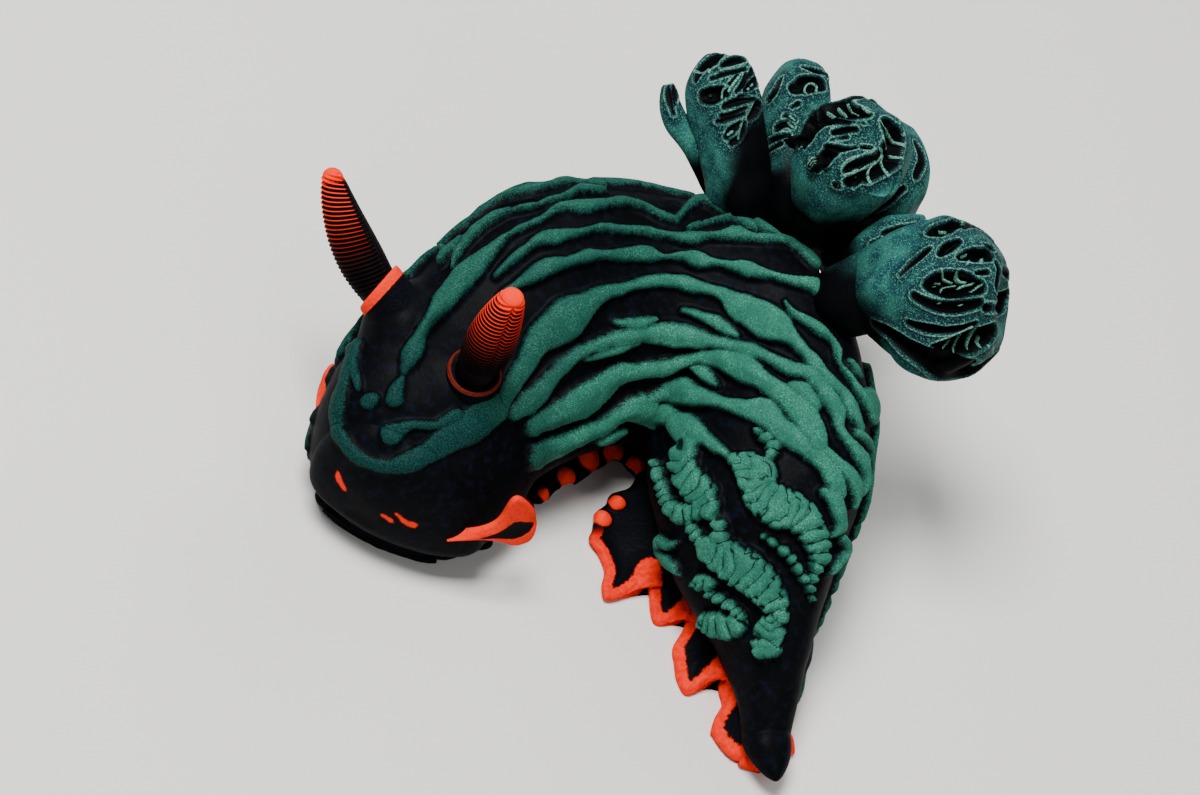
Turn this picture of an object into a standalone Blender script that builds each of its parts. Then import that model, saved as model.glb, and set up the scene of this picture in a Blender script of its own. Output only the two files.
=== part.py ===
"""A variable neon slug: a still, life-size model, curled round its own left side with its gills open.

Lengths are millimetres until a mesh is made. Z is up and the flat sole lies at Z = 0, with the origin on the
sole under the midline at the middle of the body. A place on the skin is a station along the body and an angle
round it. Stations run from below 0 on the snout to 9 near the tail's end. The angle is 0 on the left flank,
90 on the back, 180 on the right flank and 270 on the sole.
"""

import bmesh
import bpy
import numpy as np
from mathutils import Vector

OBJECT = "variable_neon_slug"
METRES = 0.001
GAP = 0.3
WELD = 0.000002
SEED = 7

# One row per station: the midline's x and y, the half width left and right, the height of the widest line and
# of the back, how far the back leans to the right, and the foot's half width left and right.
STATIONS = np.array((
    (-11.2, -22.8, 8.4, 7.2, 4.6, 13.0, 2.4, 4.4, 4.8),
    (-11.4, -18.6, 10.2, 8.2, 5.6, 16.2, 3.6, 7.4, 6.6),
    (-10.5, -12.4, 10.2, 7.6, 7.2, 18.3, 4.3, 8.8, 7.6),
    (-6.6, -5.8, 10.2, 9.2, 8.8, 21.9, 5.6, 6.8, 8.4),
    (0.0, 0.0, 9.5, 8.6, 10.0, 21.3, 5.7, 4.4, 8.8),
    (7.2, 0.8, 8.2, 6.6, 10.0, 23.6, 4.9, 5.2, 8.2),
    (12.4, -4.2, 9.4, 6.9, 9.5, 21.0, 4.8, 9.6, 7.8),
    (16.3, -12.0, 7.5, 6.7, 8.0, 17.3, 3.3, 5.4, 6.8),
    (20.9, -19.2, 3.2, 4.0, 5.6, 11.4, 1.6, 2.0, 4.6),
    (25.2, -25.2, 1.9, 2.1, 2.6, 4.6, 0.0, 1.2, 2.2),
))
LAST = len(STATIONS) - 1
UNDERSIDE = 1.9
SNOUT = 3.6
TAIL_TIP = 3.6
RING_STEP = 0.2
CAP_RINGS = 5

# Where each ridge starts round the neck, in degrees, and the plain columns below the lowest ridges.
RIDGES = (-31, -18, -5, 8, 22, 32, 41, 57, 71, 81, 93, 106, 120, 133, 146, 158, 170)
LOW_LEFT = (-44,)
LATE_RIDGES = 3
LATE_START = 5.3
LOW_RIGHT = (188, 205, 225, 247, 270, 293)
RIDGE_HEIGHT = 0.9
# The ridges are lower on the head, fade out on the snout and tail, and are halved low in the inner bend.
HEAD_SHARE = 0.45
HEAD_FADE = (0.2, 1.8)
SNOUT_FADE = (-0.9, -0.3)
TAIL_FADE = (8.2, 9.0)
INNER_BEND = {"station": 5.0, "length": 0.7, "share": 0.5, "angle": 45}
# The ridges cross the back towards the tail: the angle at the neck, the same line's angle at the tail, and
# the station where it starts to climb.
CROSSING = np.array((
    (-44, -44, 6.5), (-31, 4, 6.5), (-5, 45, 6.4), (10, 68, 6.0), (22, 94, 5.3), (32, 110, 5.0),
    (41, 122, 4.95), (57, 140, 4.9), (72, 151, 4.8), (93, 164, 4.6), (130, 182, 4.6), (180, 203, 4.6),
    (220, 222, 4.6), (316, 316, 6.5),
))
CROSSED = 8.0

CUTS = {"head": (-1.0, 2.25), "front_body": (2.25, 3.9), "middle_body": (3.9, 6.1), "rear_body": (6.1, 7.9),
        "tail": (7.9, 10.0)}
FOOT_CUTS = {"foot_front": (-1.0, 3.0), "foot_middle": (3.0, 6.4), "foot_rear": (6.4, 10.0)}

# The lengths of skin that carry the rhinophores and tentacles, and the gills.
HEAD_SPAN = (-1.0, 2.6)
GILL_SPAN = (3.5, 6.5)

FOOT_THICKNESS = 1.6
FOOT_EDGE = 0.8
FOOT_TIP = 1.6
SCALLOP = 1.5
SCALLOPS_PER_STATION = 1.35
FOOT_STEP = 0.09
# The foot's columns from edge to edge as shares of its half width, and where its margin starts to thin.
FOOT_ACROSS = (-1, -0.86, -0.62, 0.0, 0.62, 0.86, 1)
FOOT_MARGIN = 0.62
FOOT_CAP_RINGS = 8
CAP_START = 0.3
# The margin lies almost straight in the inner bend.
CALM = {"station": 5.1, "length": 0.9, "share": 0.75}

RHINOPHORES = {
    "rhinophore_left": {"root": (1.4, 67), "lean": (0.03, -0.13, 0.99), "collar": 0.9, "bow": (0.0, 0.0, 0.0)},
    "rhinophore_right": {"root": (1.6, 118.4), "lean": (-0.88, 0.12, 0.4), "collar": 2.4, "bow": (2.13, 2.14, 1.93)},
}
RHINOPHORE_LENGTH = 13.4
LAMELLAE = 12
CLUB_SIDES = 14
COLLAR_SIDES = 18
LAMELLA_DEPTH = 0.35
LAMELLA_SLANT = 0.35
STEM_RADIUS = 1.15
STEM_SUNK = 1.5
STEM_TOP = 2.6
CLUB_START = 3.4
CLUB_RADIUS = 1.95
# How wide the club is for its greatest radius, from its foot at 0 to its tip at 1.
CLUB_SHAPE = ((0, 0.64), (0.2, 0.9), (0.42, 1.0), (0.7, 0.88), (1, 0.55))
TIP_LENGTH = 1.0
TIP_RADIUS = 0.85
COLLAR_RADIUS = 2.4
COLLAR_BASE = 3.0
COLLAR_WALL = 0.6
COLLAR_SUNK = 3.5
COLLAR_FLOOR = 1.0

# Each oral tentacle: the place on the cheek where it starts, the one that its free rear end stands over, and
# how far off the skin that end is.
TENTACLES = {
    "oral_tentacle_left": {"front": (-0.7, 14), "rear": (0.84, 10.5), "lift": 2.8},
    "oral_tentacle_right": {"front": (0.5, 179), "rear": (1.3, 170), "lift": 1.2},
}
TENTACLE_WIDTH = 2.1
# How wide a tentacle is for its greatest half width, from its front end at 0 to its free end at 1.
TENTACLE_SHAPE = ((0, 0.4), (0.25, 0.78), (0.6, 1.0), (0.85, 0.9), (1, 0.6))
TENTACLE_THICKNESS = 0.8
TENTACLE_SUNK = 0.8
TENTACLE_CUP = 45.0
TENTACLE_ROWS = 8
TENTACLE_COLUMNS = 5

# Each gill plume: its root on the back, the middle of its top, its width, the number of lobes, the turn of the
# first lobe and the way it opens, where the lobes stay shorter.
PLUMES = {
    "gill_plume_1": {"root": (4.4, 106), "top": (-7.8, 16.8, 30.4), "width": 8.4, "lobes": 4, "turn": 20,
                     "open": (0.4, -0.7, 0.5)},
    "gill_plume_2": {"root": (4.68, 118), "top": (0.8, 24.2, 28.4), "width": 7.4, "lobes": 4, "turn": 0,
                     "open": (0.3, -0.7, 0.6)},
    "gill_plume_3": {"root": (4.92, 96), "top": (9.2, 12.6, 37.6), "width": 12.4, "lobes": 5, "turn": 40,
                     "open": (0.8, -0.7, 0.4)},
    "gill_plume_4": {"root": (5.45, 97), "top": (25.2, 5.0, 30.0), "width": 13.2, "lobes": 5, "turn": 10,
                     "open": (0.3, -0.4, 0.9)},
    "gill_plume_5": {"root": (5.12, 124), "top": (11.8, 24.4, 27.6), "width": 7.8, "lobes": 4, "turn": 60,
                     "open": (0.3, -0.7, 0.7)},
}
GILL_FIELD = {"centre": (4.95, 106), "radius": 12.5}
FADE_WIDTH = 3.0
STALK_RADIUS = 1.3
STALK_SUNK = 2.4
LOBE_WALL = 0.6
LOBE_RIB = 0.35
LOBE_ROWS = 12
LOBE_ACROSS = (-1, -0.8, -0.45, 0, 0.45, 0.8)
LOBE_SPREAD = 36.0
LOBE_CURL = 105.0
LOBE_NOTCH = 0.5
LOBE_CUP = 50.0
LOBE_ROUND = 3
LOBE_SHORTER = 0.5
CUP_FLOOR = 0.22

COLOURS = {
    "skin": ((0.006, 0.011, 0.016), 0.35),
    "foot": ((0.82, 0.09, 0.02), 0.4),
    "rhinophore": ((0.82, 0.09, 0.02), 0.45),
    "tentacle": ((0.82, 0.09, 0.02), 0.4),
    "gill": ((0.03, 0.16, 0.11), 0.4),
}


def natural_bend(rows):
    """Give the second derivatives of the natural cubic curve through rows that lie one station apart."""
    count = len(rows)
    matrix = np.eye(count)
    right = np.zeros_like(rows)
    for i in range(1, count - 1):
        matrix[i, i - 1:i + 2] = (1, 4, 1)
        right[i] = 6 * (rows[i - 1] - 2 * rows[i] + rows[i + 1])
    return np.linalg.solve(matrix, right)


BEND = natural_bend(STATIONS)


def station(t):
    """Read the station table at any t between the first and last station."""
    t = np.clip(t, 0, LAST)
    i = np.minimum(t.astype(int), LAST - 1)
    after = (t - i)[..., None]
    before = 1 - after
    bend = ((before**3 - before) * BEND[i] + (after**3 - after) * BEND[i + 1]) / 6
    return before * STATIONS[i] + after * STATIONS[i + 1] + bend


def midline(t):
    """Give the station's row, the unit vector towards the snout and the one towards the left."""
    small = 0.001
    row = station(t)
    ahead = station(t - small)[..., :2] - station(t + small)[..., :2]
    ahead = ahead / np.linalg.norm(ahead, axis=-1, keepdims=True)
    left = np.stack((-ahead[..., 1], ahead[..., 0]), -1)
    return row, ahead, left


def ends(t):
    """Give how far t lies into the snout and into the tail tip, 0 to 1, and the section's share of its size."""
    snout = np.clip(-t, 0, 1)
    tail = np.clip(t - LAST, 0, 1)
    size = np.sqrt(np.maximum(1 - snout**2, 0)) * (1 - tail**2) ** 0.8
    return snout, tail, size


def skin(t, angle):
    """Give points of the smooth skin at stations t and angles in degrees."""
    t, angle = np.broadcast_arrays(np.asarray(t, float), np.radians(np.asarray(angle, float)))
    row, ahead, left = midline(np.clip(t, 0, LAST))
    snout, tail, size = ends(t)
    across, up = np.cos(angle), np.sin(angle)
    low = up < 0
    half = np.where(across >= 0, row[..., 2], row[..., 3])
    side = half * np.sign(across) * np.abs(across) ** np.where(low, 0.6, 0.9)
    side = side * np.where(low, 1 - 0.32 * up**2, 1) * size
    widest, back = row[..., 4], row[..., 5]
    rise = np.where(low, -(widest - UNDERSIDE) * np.abs(up) ** 0.9, (back - widest) * up) * size
    height = widest + rise
    side = side - row[..., 6] * (height - UNDERSIDE) / (back - UNDERSIDE)
    reach = snout * SNOUT - tail * TAIL_TIP
    plan = row[..., :2] + left * side[..., None] + ahead * reach[..., None]
    return np.concatenate((plan, height[..., None]), -1)


def skin_normal(t, angle):
    """Give the outward unit normals of the smooth skin."""
    along = skin(np.asarray(t) - 0.02, angle) - skin(np.asarray(t) + 0.02, angle)
    around = skin(t, np.asarray(angle) + 1.0) - skin(t, np.asarray(angle) - 1.0)
    normal = np.cross(around, along)
    return normal / np.linalg.norm(normal, axis=-1, keepdims=True)


def smooth_step(value, low, high):
    """Rise smoothly from 0 at low to 1 at high."""
    share = np.clip((value - low) / (high - low), 0, 1)
    return share * share * (3 - 2 * share)


def crossed(t, start):
    """Give the angle at station t of the line that starts round the neck at the angle start."""
    at_tail = np.interp(start, CROSSING[:, 0], CROSSING[:, 1])
    climbs = np.interp(start, CROSSING[:, 0], CROSSING[:, 2])
    share = np.clip((t - climbs) / (CROSSED - climbs), 0, 1)
    return start + (at_tail - start) * share**1.1


def ridge_columns():
    """Give the start angles of all columns and which of them are ridge crests."""
    middles = [(a + b) / 2 for a, b in zip(RIDGES, RIDGES[1:])]
    upper = sorted(list(RIDGES) + middles)
    columns = np.array(list(LOW_LEFT) + upper + list(LOW_RIGHT), float)
    crest = np.isin(columns, RIDGES)
    return columns, crest


def ridge_heights(t, columns, crest, points):
    """Give how far each point of the skin's grid stands out: crests swell and fade along the body."""
    random = np.random.default_rng(SEED)
    marks = np.arange(-1, LAST + 1.5, 0.5)
    swell = np.zeros((len(t), len(columns)))
    for order, j in enumerate(np.flatnonzero(crest)):
        swell[:, j] = np.interp(t, marks, random.uniform(0.35, 1.0, len(marks)))
        if order < LATE_RIDGES:
            swell[:, j] = swell[:, j] * smooth_step(t, LATE_START, LATE_START + 0.6)
    head = HEAD_SHARE + (1 - HEAD_SHARE) * smooth_step(t, *HEAD_FADE)
    tail = 1 - smooth_step(t, *TAIL_FADE)
    bend = np.exp(-((t - INNER_BEND["station"]) / INNER_BEND["length"]) ** 2)
    inner = 1 - INNER_BEND["share"] * bend
    height = RIDGE_HEIGHT * swell * (head * tail * smooth_step(t, *SNOUT_FADE))[:, None]
    height = height * np.where(columns < INNER_BEND["angle"], inner[:, None], 1)
    gills = skin(*GILL_FIELD["centre"])
    height = height * smooth_step(np.linalg.norm(points - gills, axis=-1), GILL_FIELD["radius"] - FADE_WIDTH,
                                  GILL_FIELD["radius"])
    for horn in RHINOPHORES.values():
        away = np.linalg.norm(points - skin(*horn["root"]), axis=-1)
        height = height * smooth_step(away, COLLAR_RADIUS, COLLAR_RADIUS + FADE_WIDTH)
    return height


def body_rings(first, last, extra=0.0):
    """Give the ridged skin's rings between two stations, pushed out by extra."""
    columns, crest = ridge_columns()
    inner = np.arange(max(first, 0) + RING_STEP, min(last, LAST) - RING_STEP / 2, RING_STEP)
    stations = [inner]
    if first < 0:
        stations.insert(0, -np.cos(np.linspace(0.12, np.pi / 2, CAP_RINGS)))
    else:
        stations.insert(0, [first])
    if last > LAST:
        stations.append(LAST + np.sin(np.linspace(0, np.pi / 2 - 0.12, CAP_RINGS)))
    else:
        stations.append([last])
    t = np.concatenate(stations)
    angle = crossed(t[:, None], columns[None, :])
    points = skin(t[:, None], angle)
    height = ridge_heights(t, columns, crest, points) + extra
    return t, points + skin_normal(t[:, None], angle) * height[..., None]


def part_at(rings, t, end, way):
    """Flatten an end ring onto the upright plane across the midline and set it back by half the gap."""
    row, ahead, _ = midline(np.array(t))
    forward = np.array((ahead[0], ahead[1], 0.0))
    origin = np.array((row[0], row[1], 0.0))
    ring = rings[end]
    rings[end] = ring - forward * ((ring - origin) @ forward)[:, None] - forward * way * GAP / 2


def loft_mesh(name, rings):
    """Make a closed mesh from rings of equal length, each end closed by one face."""
    count, around = rings.shape[:2]
    index = np.arange(count * around).reshape(count, around)
    ahead = np.roll(index, -1, axis=1)
    sides = np.stack((index[:-1], ahead[:-1], ahead[1:], index[1:]), -1).reshape(-1, 4)
    faces = [tuple(int(i) for i in face) for face in sides]
    faces.append(tuple(int(i) for i in index[0][::-1]))
    faces.append(tuple(int(i) for i in index[-1]))
    mesh = bpy.data.meshes.new(name)
    mesh.from_pydata([tuple(p) for p in rings.reshape(-1, 3) * METRES], [], faces)
    face_outward(mesh)
    return mesh


def face_outward(mesh):
    """Turn every face of a closed mesh to point out."""
    work = bmesh.new()
    work.from_mesh(mesh)
    bmesh.ops.recalc_face_normals(work, faces=work.faces)
    if work.calc_volume(signed=True) < 0:
        bmesh.ops.reverse_faces(work, faces=work.faces)
    work.to_mesh(mesh)
    work.free()


def keep_largest(mesh, fan):
    """Weld the mesh, split it into triangles and keep only its largest closed surface.

    With fan, a face of five or more corners is split round its middle, so that no two faces share a diagonal.
    """
    work = bmesh.new()
    work.from_mesh(mesh)
    bmesh.ops.remove_doubles(work, verts=work.verts, dist=WELD)
    if fan:
        bmesh.ops.poke(work, faces=[face for face in work.faces if len(face.verts) > 4])
    bmesh.ops.triangulate(work, faces=work.faces)
    left = set(work.faces)
    shells = []
    while left:
        shell = {left.pop()}
        front = list(shell)
        while front:
            face = front.pop()
            for edge in face.edges:
                for other in edge.link_faces:
                    if other in left:
                        left.discard(other)
                        shell.add(other)
                        front.append(other)
        shells.append(shell)
    shells.sort(key=len)
    for shell in shells[:-1]:
        bmesh.ops.delete(work, geom=list(shell), context="FACES")
    work.to_mesh(mesh)
    work.free()


def add_object(name, mesh, collection):
    """Put a mesh in a collection as an object."""
    piece = bpy.data.objects.new(name, mesh)
    collection.objects.link(piece)
    return piece


def apply_boolean(piece, operation, operands, fan=False):
    """Cut or join a piece with a collection of closed objects, then remove them."""
    group = bpy.data.collections.new(piece.name + "_operands")
    bpy.context.scene.collection.children.link(group)
    for operand in operands:
        operand.hide_render = True
        operand.display_type = "WIRE"
        for owner in list(operand.users_collection):
            owner.objects.unlink(operand)
        group.objects.link(operand)
    change = piece.modifiers.new(operation.lower(), "BOOLEAN")
    change.operation = operation
    change.operand_type = "COLLECTION"
    change.collection = group
    change.solver = "EXACT"
    bpy.context.view_layer.update()
    graph = bpy.context.evaluated_depsgraph_get()
    mesh = bpy.data.meshes.new_from_object(piece.evaluated_get(graph))
    piece.modifiers.clear()
    piece.data = mesh
    keep_largest(mesh, fan)
    for operand in list(group.objects):
        bpy.data.objects.remove(operand)
    bpy.data.collections.remove(group)


def dress(piece, finish):
    """Give a piece its own material."""
    colour, roughness = COLOURS[finish]
    material = bpy.data.materials.new(piece.name)
    material.use_nodes = True
    shader = material.node_tree.nodes["Principled BSDF"]
    shader.inputs["Base Color"].default_value = (*colour, 1)
    shader.inputs["Roughness"].default_value = roughness
    shader.inputs["Metallic"].default_value = 0
    piece.data.materials.clear()
    piece.data.materials.append(material)
    piece.data.shade_smooth()
    piece.data.set_sharp_from_angle(angle=0.6)


def turned(name, profile, sides):
    """Turn a profile of radius and height pairs round Z into a closed mesh."""
    outline = [(0.0, profile[0][1]), *profile, (0.0, profile[-1][1])]
    mesh = bpy.data.meshes.new(name)
    points = [(radius * METRES, 0.0, height * METRES) for radius, height in outline[::-1]]
    mesh.from_pydata(points, [(i, i + 1) for i in range(len(points) - 1)], [])
    maker = bpy.data.objects.new(name + "_profile", mesh)
    bpy.context.scene.collection.objects.link(maker)
    screw = maker.modifiers.new("screw", "SCREW")
    screw.steps = sides
    screw.render_steps = sides
    screw.use_merge_vertices = True
    screw.merge_threshold = 0.000001
    bpy.context.view_layer.update()
    graph = bpy.context.evaluated_depsgraph_get()
    turned_mesh = bpy.data.meshes.new_from_object(maker.evaluated_get(graph))
    turned_mesh.name = name
    bpy.data.objects.remove(maker)
    return turned_mesh


def aim(mesh, root, direction):
    """Stand a mesh that was made round Z at a root, along a direction."""
    turn = Vector((0, 0, 1)).rotation_difference(Vector(direction)).to_matrix().to_4x4()
    turn.translation = Vector([float(v) for v in root]) * METRES
    mesh.transform(turn)


def bow(mesh, root, direction, push):
    """Bow a standing club: push each point aside by the square of its height's share of the length."""
    for vertex in mesh.vertices:
        height = (np.array(vertex.co) / METRES - root) @ direction
        share = max(height, 0.0) / RHINOPHORE_LENGTH
        vertex.co += Vector(push) * METRES * share**2


def build_body(parts):
    """Make the head, three lengths of body and the tail, parted by thin upright cuts."""
    for name, (first, last) in CUTS.items():
        t, rings = body_rings(first, last)
        if first >= 0:
            part_at(rings, first, 0, 1)
        if last <= LAST:
            part_at(rings, last, -1, -1)
        add_object(name, loft_mesh(name, rings), parts)


def scallop(t):
    """Give the foot margin's lobes: round outward, with a sharp notch between one and the next."""
    place = (t + 1) * SCALLOPS_PER_STATION % 1
    return np.sqrt(np.maximum(1 - (2 * place - 1) ** 2, 0))


def build_foot(parts):
    """Make the flat foot in three lengths with a thin scalloped margin."""
    share = np.array(FOOT_ACROSS)
    top = np.interp(np.abs(share), (FOOT_MARGIN, 1), (FOOT_THICKNESS, FOOT_EDGE))
    turn = np.linspace(CAP_START, np.pi / 2, FOOT_CAP_RINGS + 1)[:-1]
    for name, (first, last) in FOOT_CUTS.items():
        low = max(first, 0)
        high = min(last, LAST)
        t = np.linspace(low, high, round((high - low) / FOOT_STEP))
        if first < 0:
            t = np.concatenate((-np.cos(turn), t))
        if last > LAST:
            t = np.concatenate((t, LAST + np.cos(turn)[::-1]))
        row, ahead, left = midline(np.clip(t, 0, LAST))
        snout, tail, size = ends(t)
        calm = CALM["share"] * np.exp(-((t - CALM["station"]) / CALM["length"]) ** 2)
        lobes = SCALLOP * scallop(t) * size
        half_left = row[:, 7] * size + lobes * (1 - calm)
        half_right = row[:, 8] * size + lobes
        side = np.where(share > 0, share * half_left[:, None], share * half_right[:, None])
        reach = snout * FOOT_TIP - tail * FOOT_TIP
        plan = row[:, None, :2] + left[:, None] * side[..., None] + (ahead * reach[:, None])[:, None]
        upper = np.concatenate((plan, np.broadcast_to(top[None, :, None], plan.shape[:2] + (1,))), -1)
        lower = np.concatenate((plan[:, (-1, 0)], np.zeros((len(t), 2, 1))), -1)
        rings = np.concatenate((upper, lower), 1)
        if first >= 0:
            part_at(rings, first, 0, 1)
        if last <= LAST:
            part_at(rings, last, -1, -1)
        add_object(name, loft_mesh(name, rings), parts)


def build_rhinophores(parts):
    """Make both rhinophores, clear of the head, and fuse their collars onto it."""
    collars = []
    for name, horn in RHINOPHORES.items():
        root = skin(*horn["root"])
        direction = np.array(horn["lean"]) / np.linalg.norm(horn["lean"])
        collar = turned(name + "_collar", collar_profile(horn["collar"]), COLLAR_SIDES)
        aim(collar, root, direction)
        collars.append(add_object(name + "_collar", collar, parts))
        club = turned(name, club_profile(), CLUB_SIDES)
        slant(club)
        aim(club, root, direction)
        bow(club, root, direction, horn["bow"])
        piece = add_object(name, club, parts)
        apply_boolean(piece, "DIFFERENCE", [inflated("head_clearance", *HEAD_SPAN, parts)])
    apply_boolean(bpy.data.objects["head"], "UNION", collars)


def collar_profile(height):
    """Give a collar's profile: a broad sunken base, a thin round lip and a hollow for the rhinophore's stem."""
    lip = COLLAR_RADIUS - COLLAR_WALL / 2
    hollow = COLLAR_RADIUS - COLLAR_WALL
    return [(COLLAR_BASE, -COLLAR_SUNK), (COLLAR_BASE, -COLLAR_SUNK / 2), (COLLAR_RADIUS, height / 2),
            (COLLAR_RADIUS, height), (lip, height + COLLAR_WALL / 4), (hollow, height), (hollow, -COLLAR_FLOOR)]


def club_profile():
    """Give a rhinophore's profile: a stem, a ringed club that is widest below its middle, and a round tip."""
    end = RHINOPHORE_LENGTH - TIP_LENGTH
    rows = [(STEM_RADIUS, -STEM_SUNK), (STEM_RADIUS, STEM_TOP)]
    share, swell = zip(*CLUB_SHAPE)
    for i in range(2 * LAMELLAE):
        place = (i + 0.5) / (2 * LAMELLAE)
        radius = CLUB_RADIUS * np.interp(place, share, swell)
        edge = LAMELLA_DEPTH / 2 * (1 if i % 2 else -1)
        rows.append((radius + edge, CLUB_START + place * (end - CLUB_START)))
    rows.append((TIP_RADIUS, end + 0.4 * TIP_LENGTH))
    rows.append((0.6 * TIP_RADIUS, end + 0.85 * TIP_LENGTH))
    return rows + [(0.2 * TIP_RADIUS, RHINOPHORE_LENGTH)]


def slant(mesh):
    """Tilt the lamellae down towards the smooth back of a club, which lies at +X."""
    for vertex in mesh.vertices:
        if vertex.co.z > CLUB_START * METRES:
            vertex.co.z -= vertex.co.x * LAMELLA_SLANT


def inflated(name, first, last, parts):
    """Make the skin between two stations, larger all round by the gap, to cut what grows from it."""
    _, rings = body_rings(first, last, GAP)
    return add_object(name, loft_mesh(name, rings), parts)


def leaf(name, midpoints, sideways, inward, half_widths, cup, thickness):
    """Make a cupped leaf: a cross row is an arc that opens towards inward and spans the cup angle each way."""
    across = np.linspace(-1, 1, TENTACLE_COLUMNS)
    bend = np.radians(cup) * across
    wide = half_widths[:, None] / np.radians(cup)
    outer = (midpoints[:, None] + sideways * (wide * np.sin(bend))[..., None]
             + inward * (wide * (1 - np.cos(bend)))[..., None])
    normal = inward * np.cos(bend)[:, None] - sideways * np.sin(bend)[:, None]
    return shell_mesh(name, outer, outer + normal * thickness)


def shell_mesh(name, outer, inner):
    """Join two grids of equal size into one closed shell whose faces are split into the same triangles."""
    rows, columns = outer.shape[:2]
    index = np.arange(rows * columns).reshape(rows, columns)
    a, b, c, d = index[:-1, :-1], index[1:, :-1], index[1:, 1:], index[:-1, 1:]
    one = np.concatenate((np.stack((a, b, c), -1).reshape(-1, 3), np.stack((a, c, d), -1).reshape(-1, 3)))
    other = one[:, ::-1] + rows * columns
    edge = np.concatenate((index[0, :-1], index[:-1, -1], index[-1, :0:-1], index[:0:-1, 0]))
    following = np.roll(edge, -1)
    rim = np.concatenate((np.stack((edge, following, following + rows * columns), -1),
                          np.stack((edge, following + rows * columns, edge + rows * columns), -1)))
    faces = [tuple(int(i) for i in face) for face in np.concatenate((one, other, rim))]
    mesh = bpy.data.meshes.new(name)
    points = np.concatenate((outer.reshape(-1, 3), inner.reshape(-1, 3))) * METRES
    mesh.from_pydata([tuple(p) for p in points], [], faces)
    face_outward(mesh)
    return mesh


def build_tentacles(parts):
    """Make the two cupped oral tentacles, low on the cheeks: each runs back and lifts off the cheek."""
    share = np.linspace(0, 1, TENTACLE_ROWS)[:, None]
    for name, flap in TENTACLES.items():
        front = skin(*flap["front"]) - skin_normal(*flap["front"]) * TENTACLE_SUNK
        rear = skin(*flap["rear"]) + skin_normal(*flap["rear"]) * flap["lift"]
        middle = front + (rear - front) * share
        along = (rear - front) / np.linalg.norm(rear - front)
        outward = skin_normal(*flap["rear"])
        upright = np.cross(along, outward)
        upright = upright / np.linalg.norm(upright)
        outward = np.cross(upright, along)
        width = TENTACLE_WIDTH * np.interp(share[:, 0], *zip(*TENTACLE_SHAPE))
        mesh = leaf(name, middle, upright, outward, width, TENTACLE_CUP, TENTACLE_THICKNESS)
        piece = add_object(name, mesh, parts)
        apply_boolean(piece, "DIFFERENCE", [inflated("head_clearance", *HEAD_SPAN, parts)])


def build_plumes(parts):
    """Make the gill plumes: each is a stalk that opens into cupped, ribbed lobes with tips that curl in."""
    random = np.random.default_rng(SEED)
    for name, plume in PLUMES.items():
        outer, inner = plume_walls(plume, random)
        piece = add_object(name, cup_mesh(name, outer, inner), parts)
        apply_boolean(piece, "DIFFERENCE", [inflated("body_clearance", *GILL_SPAN, parts)], fan=True)


def plume_frame(plume):
    """Give a plume's root, its height and three unit vectors: its axis, the way it opens and the third."""
    root = skin(*plume["root"])
    reach = np.array(plume["top"]) - root
    height = np.linalg.norm(reach)
    axis = reach / height
    opening = np.array(plume["open"]) - axis * np.dot(plume["open"], axis)
    opening = opening / np.linalg.norm(opening)
    return root, height, axis, opening, np.cross(axis, opening)


def lobe_path(plume, height):
    """Give a lobe's midline as distances off and along the axis: straight and flaring, then curling inwards."""
    fine = np.linspace(0, 1, 201)
    flare = LOBE_SPREAD * smooth_step(fine, 0.0, 0.3)
    curl = LOBE_CURL * np.clip((fine - LOBE_NOTCH + 0.08) / (1.08 - LOBE_NOTCH), 0, 1)
    heading = np.radians(flare - curl)
    off = np.concatenate(((0,), np.cumsum(np.sin(heading[1:]))))
    along = np.concatenate(((0,), np.cumsum(np.cos(heading[1:]))))
    off = STALK_RADIUS + off * (plume["width"] / 2 - STALK_RADIUS) / off.max()
    along = along * height / along.max()
    return fine, off, along


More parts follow.
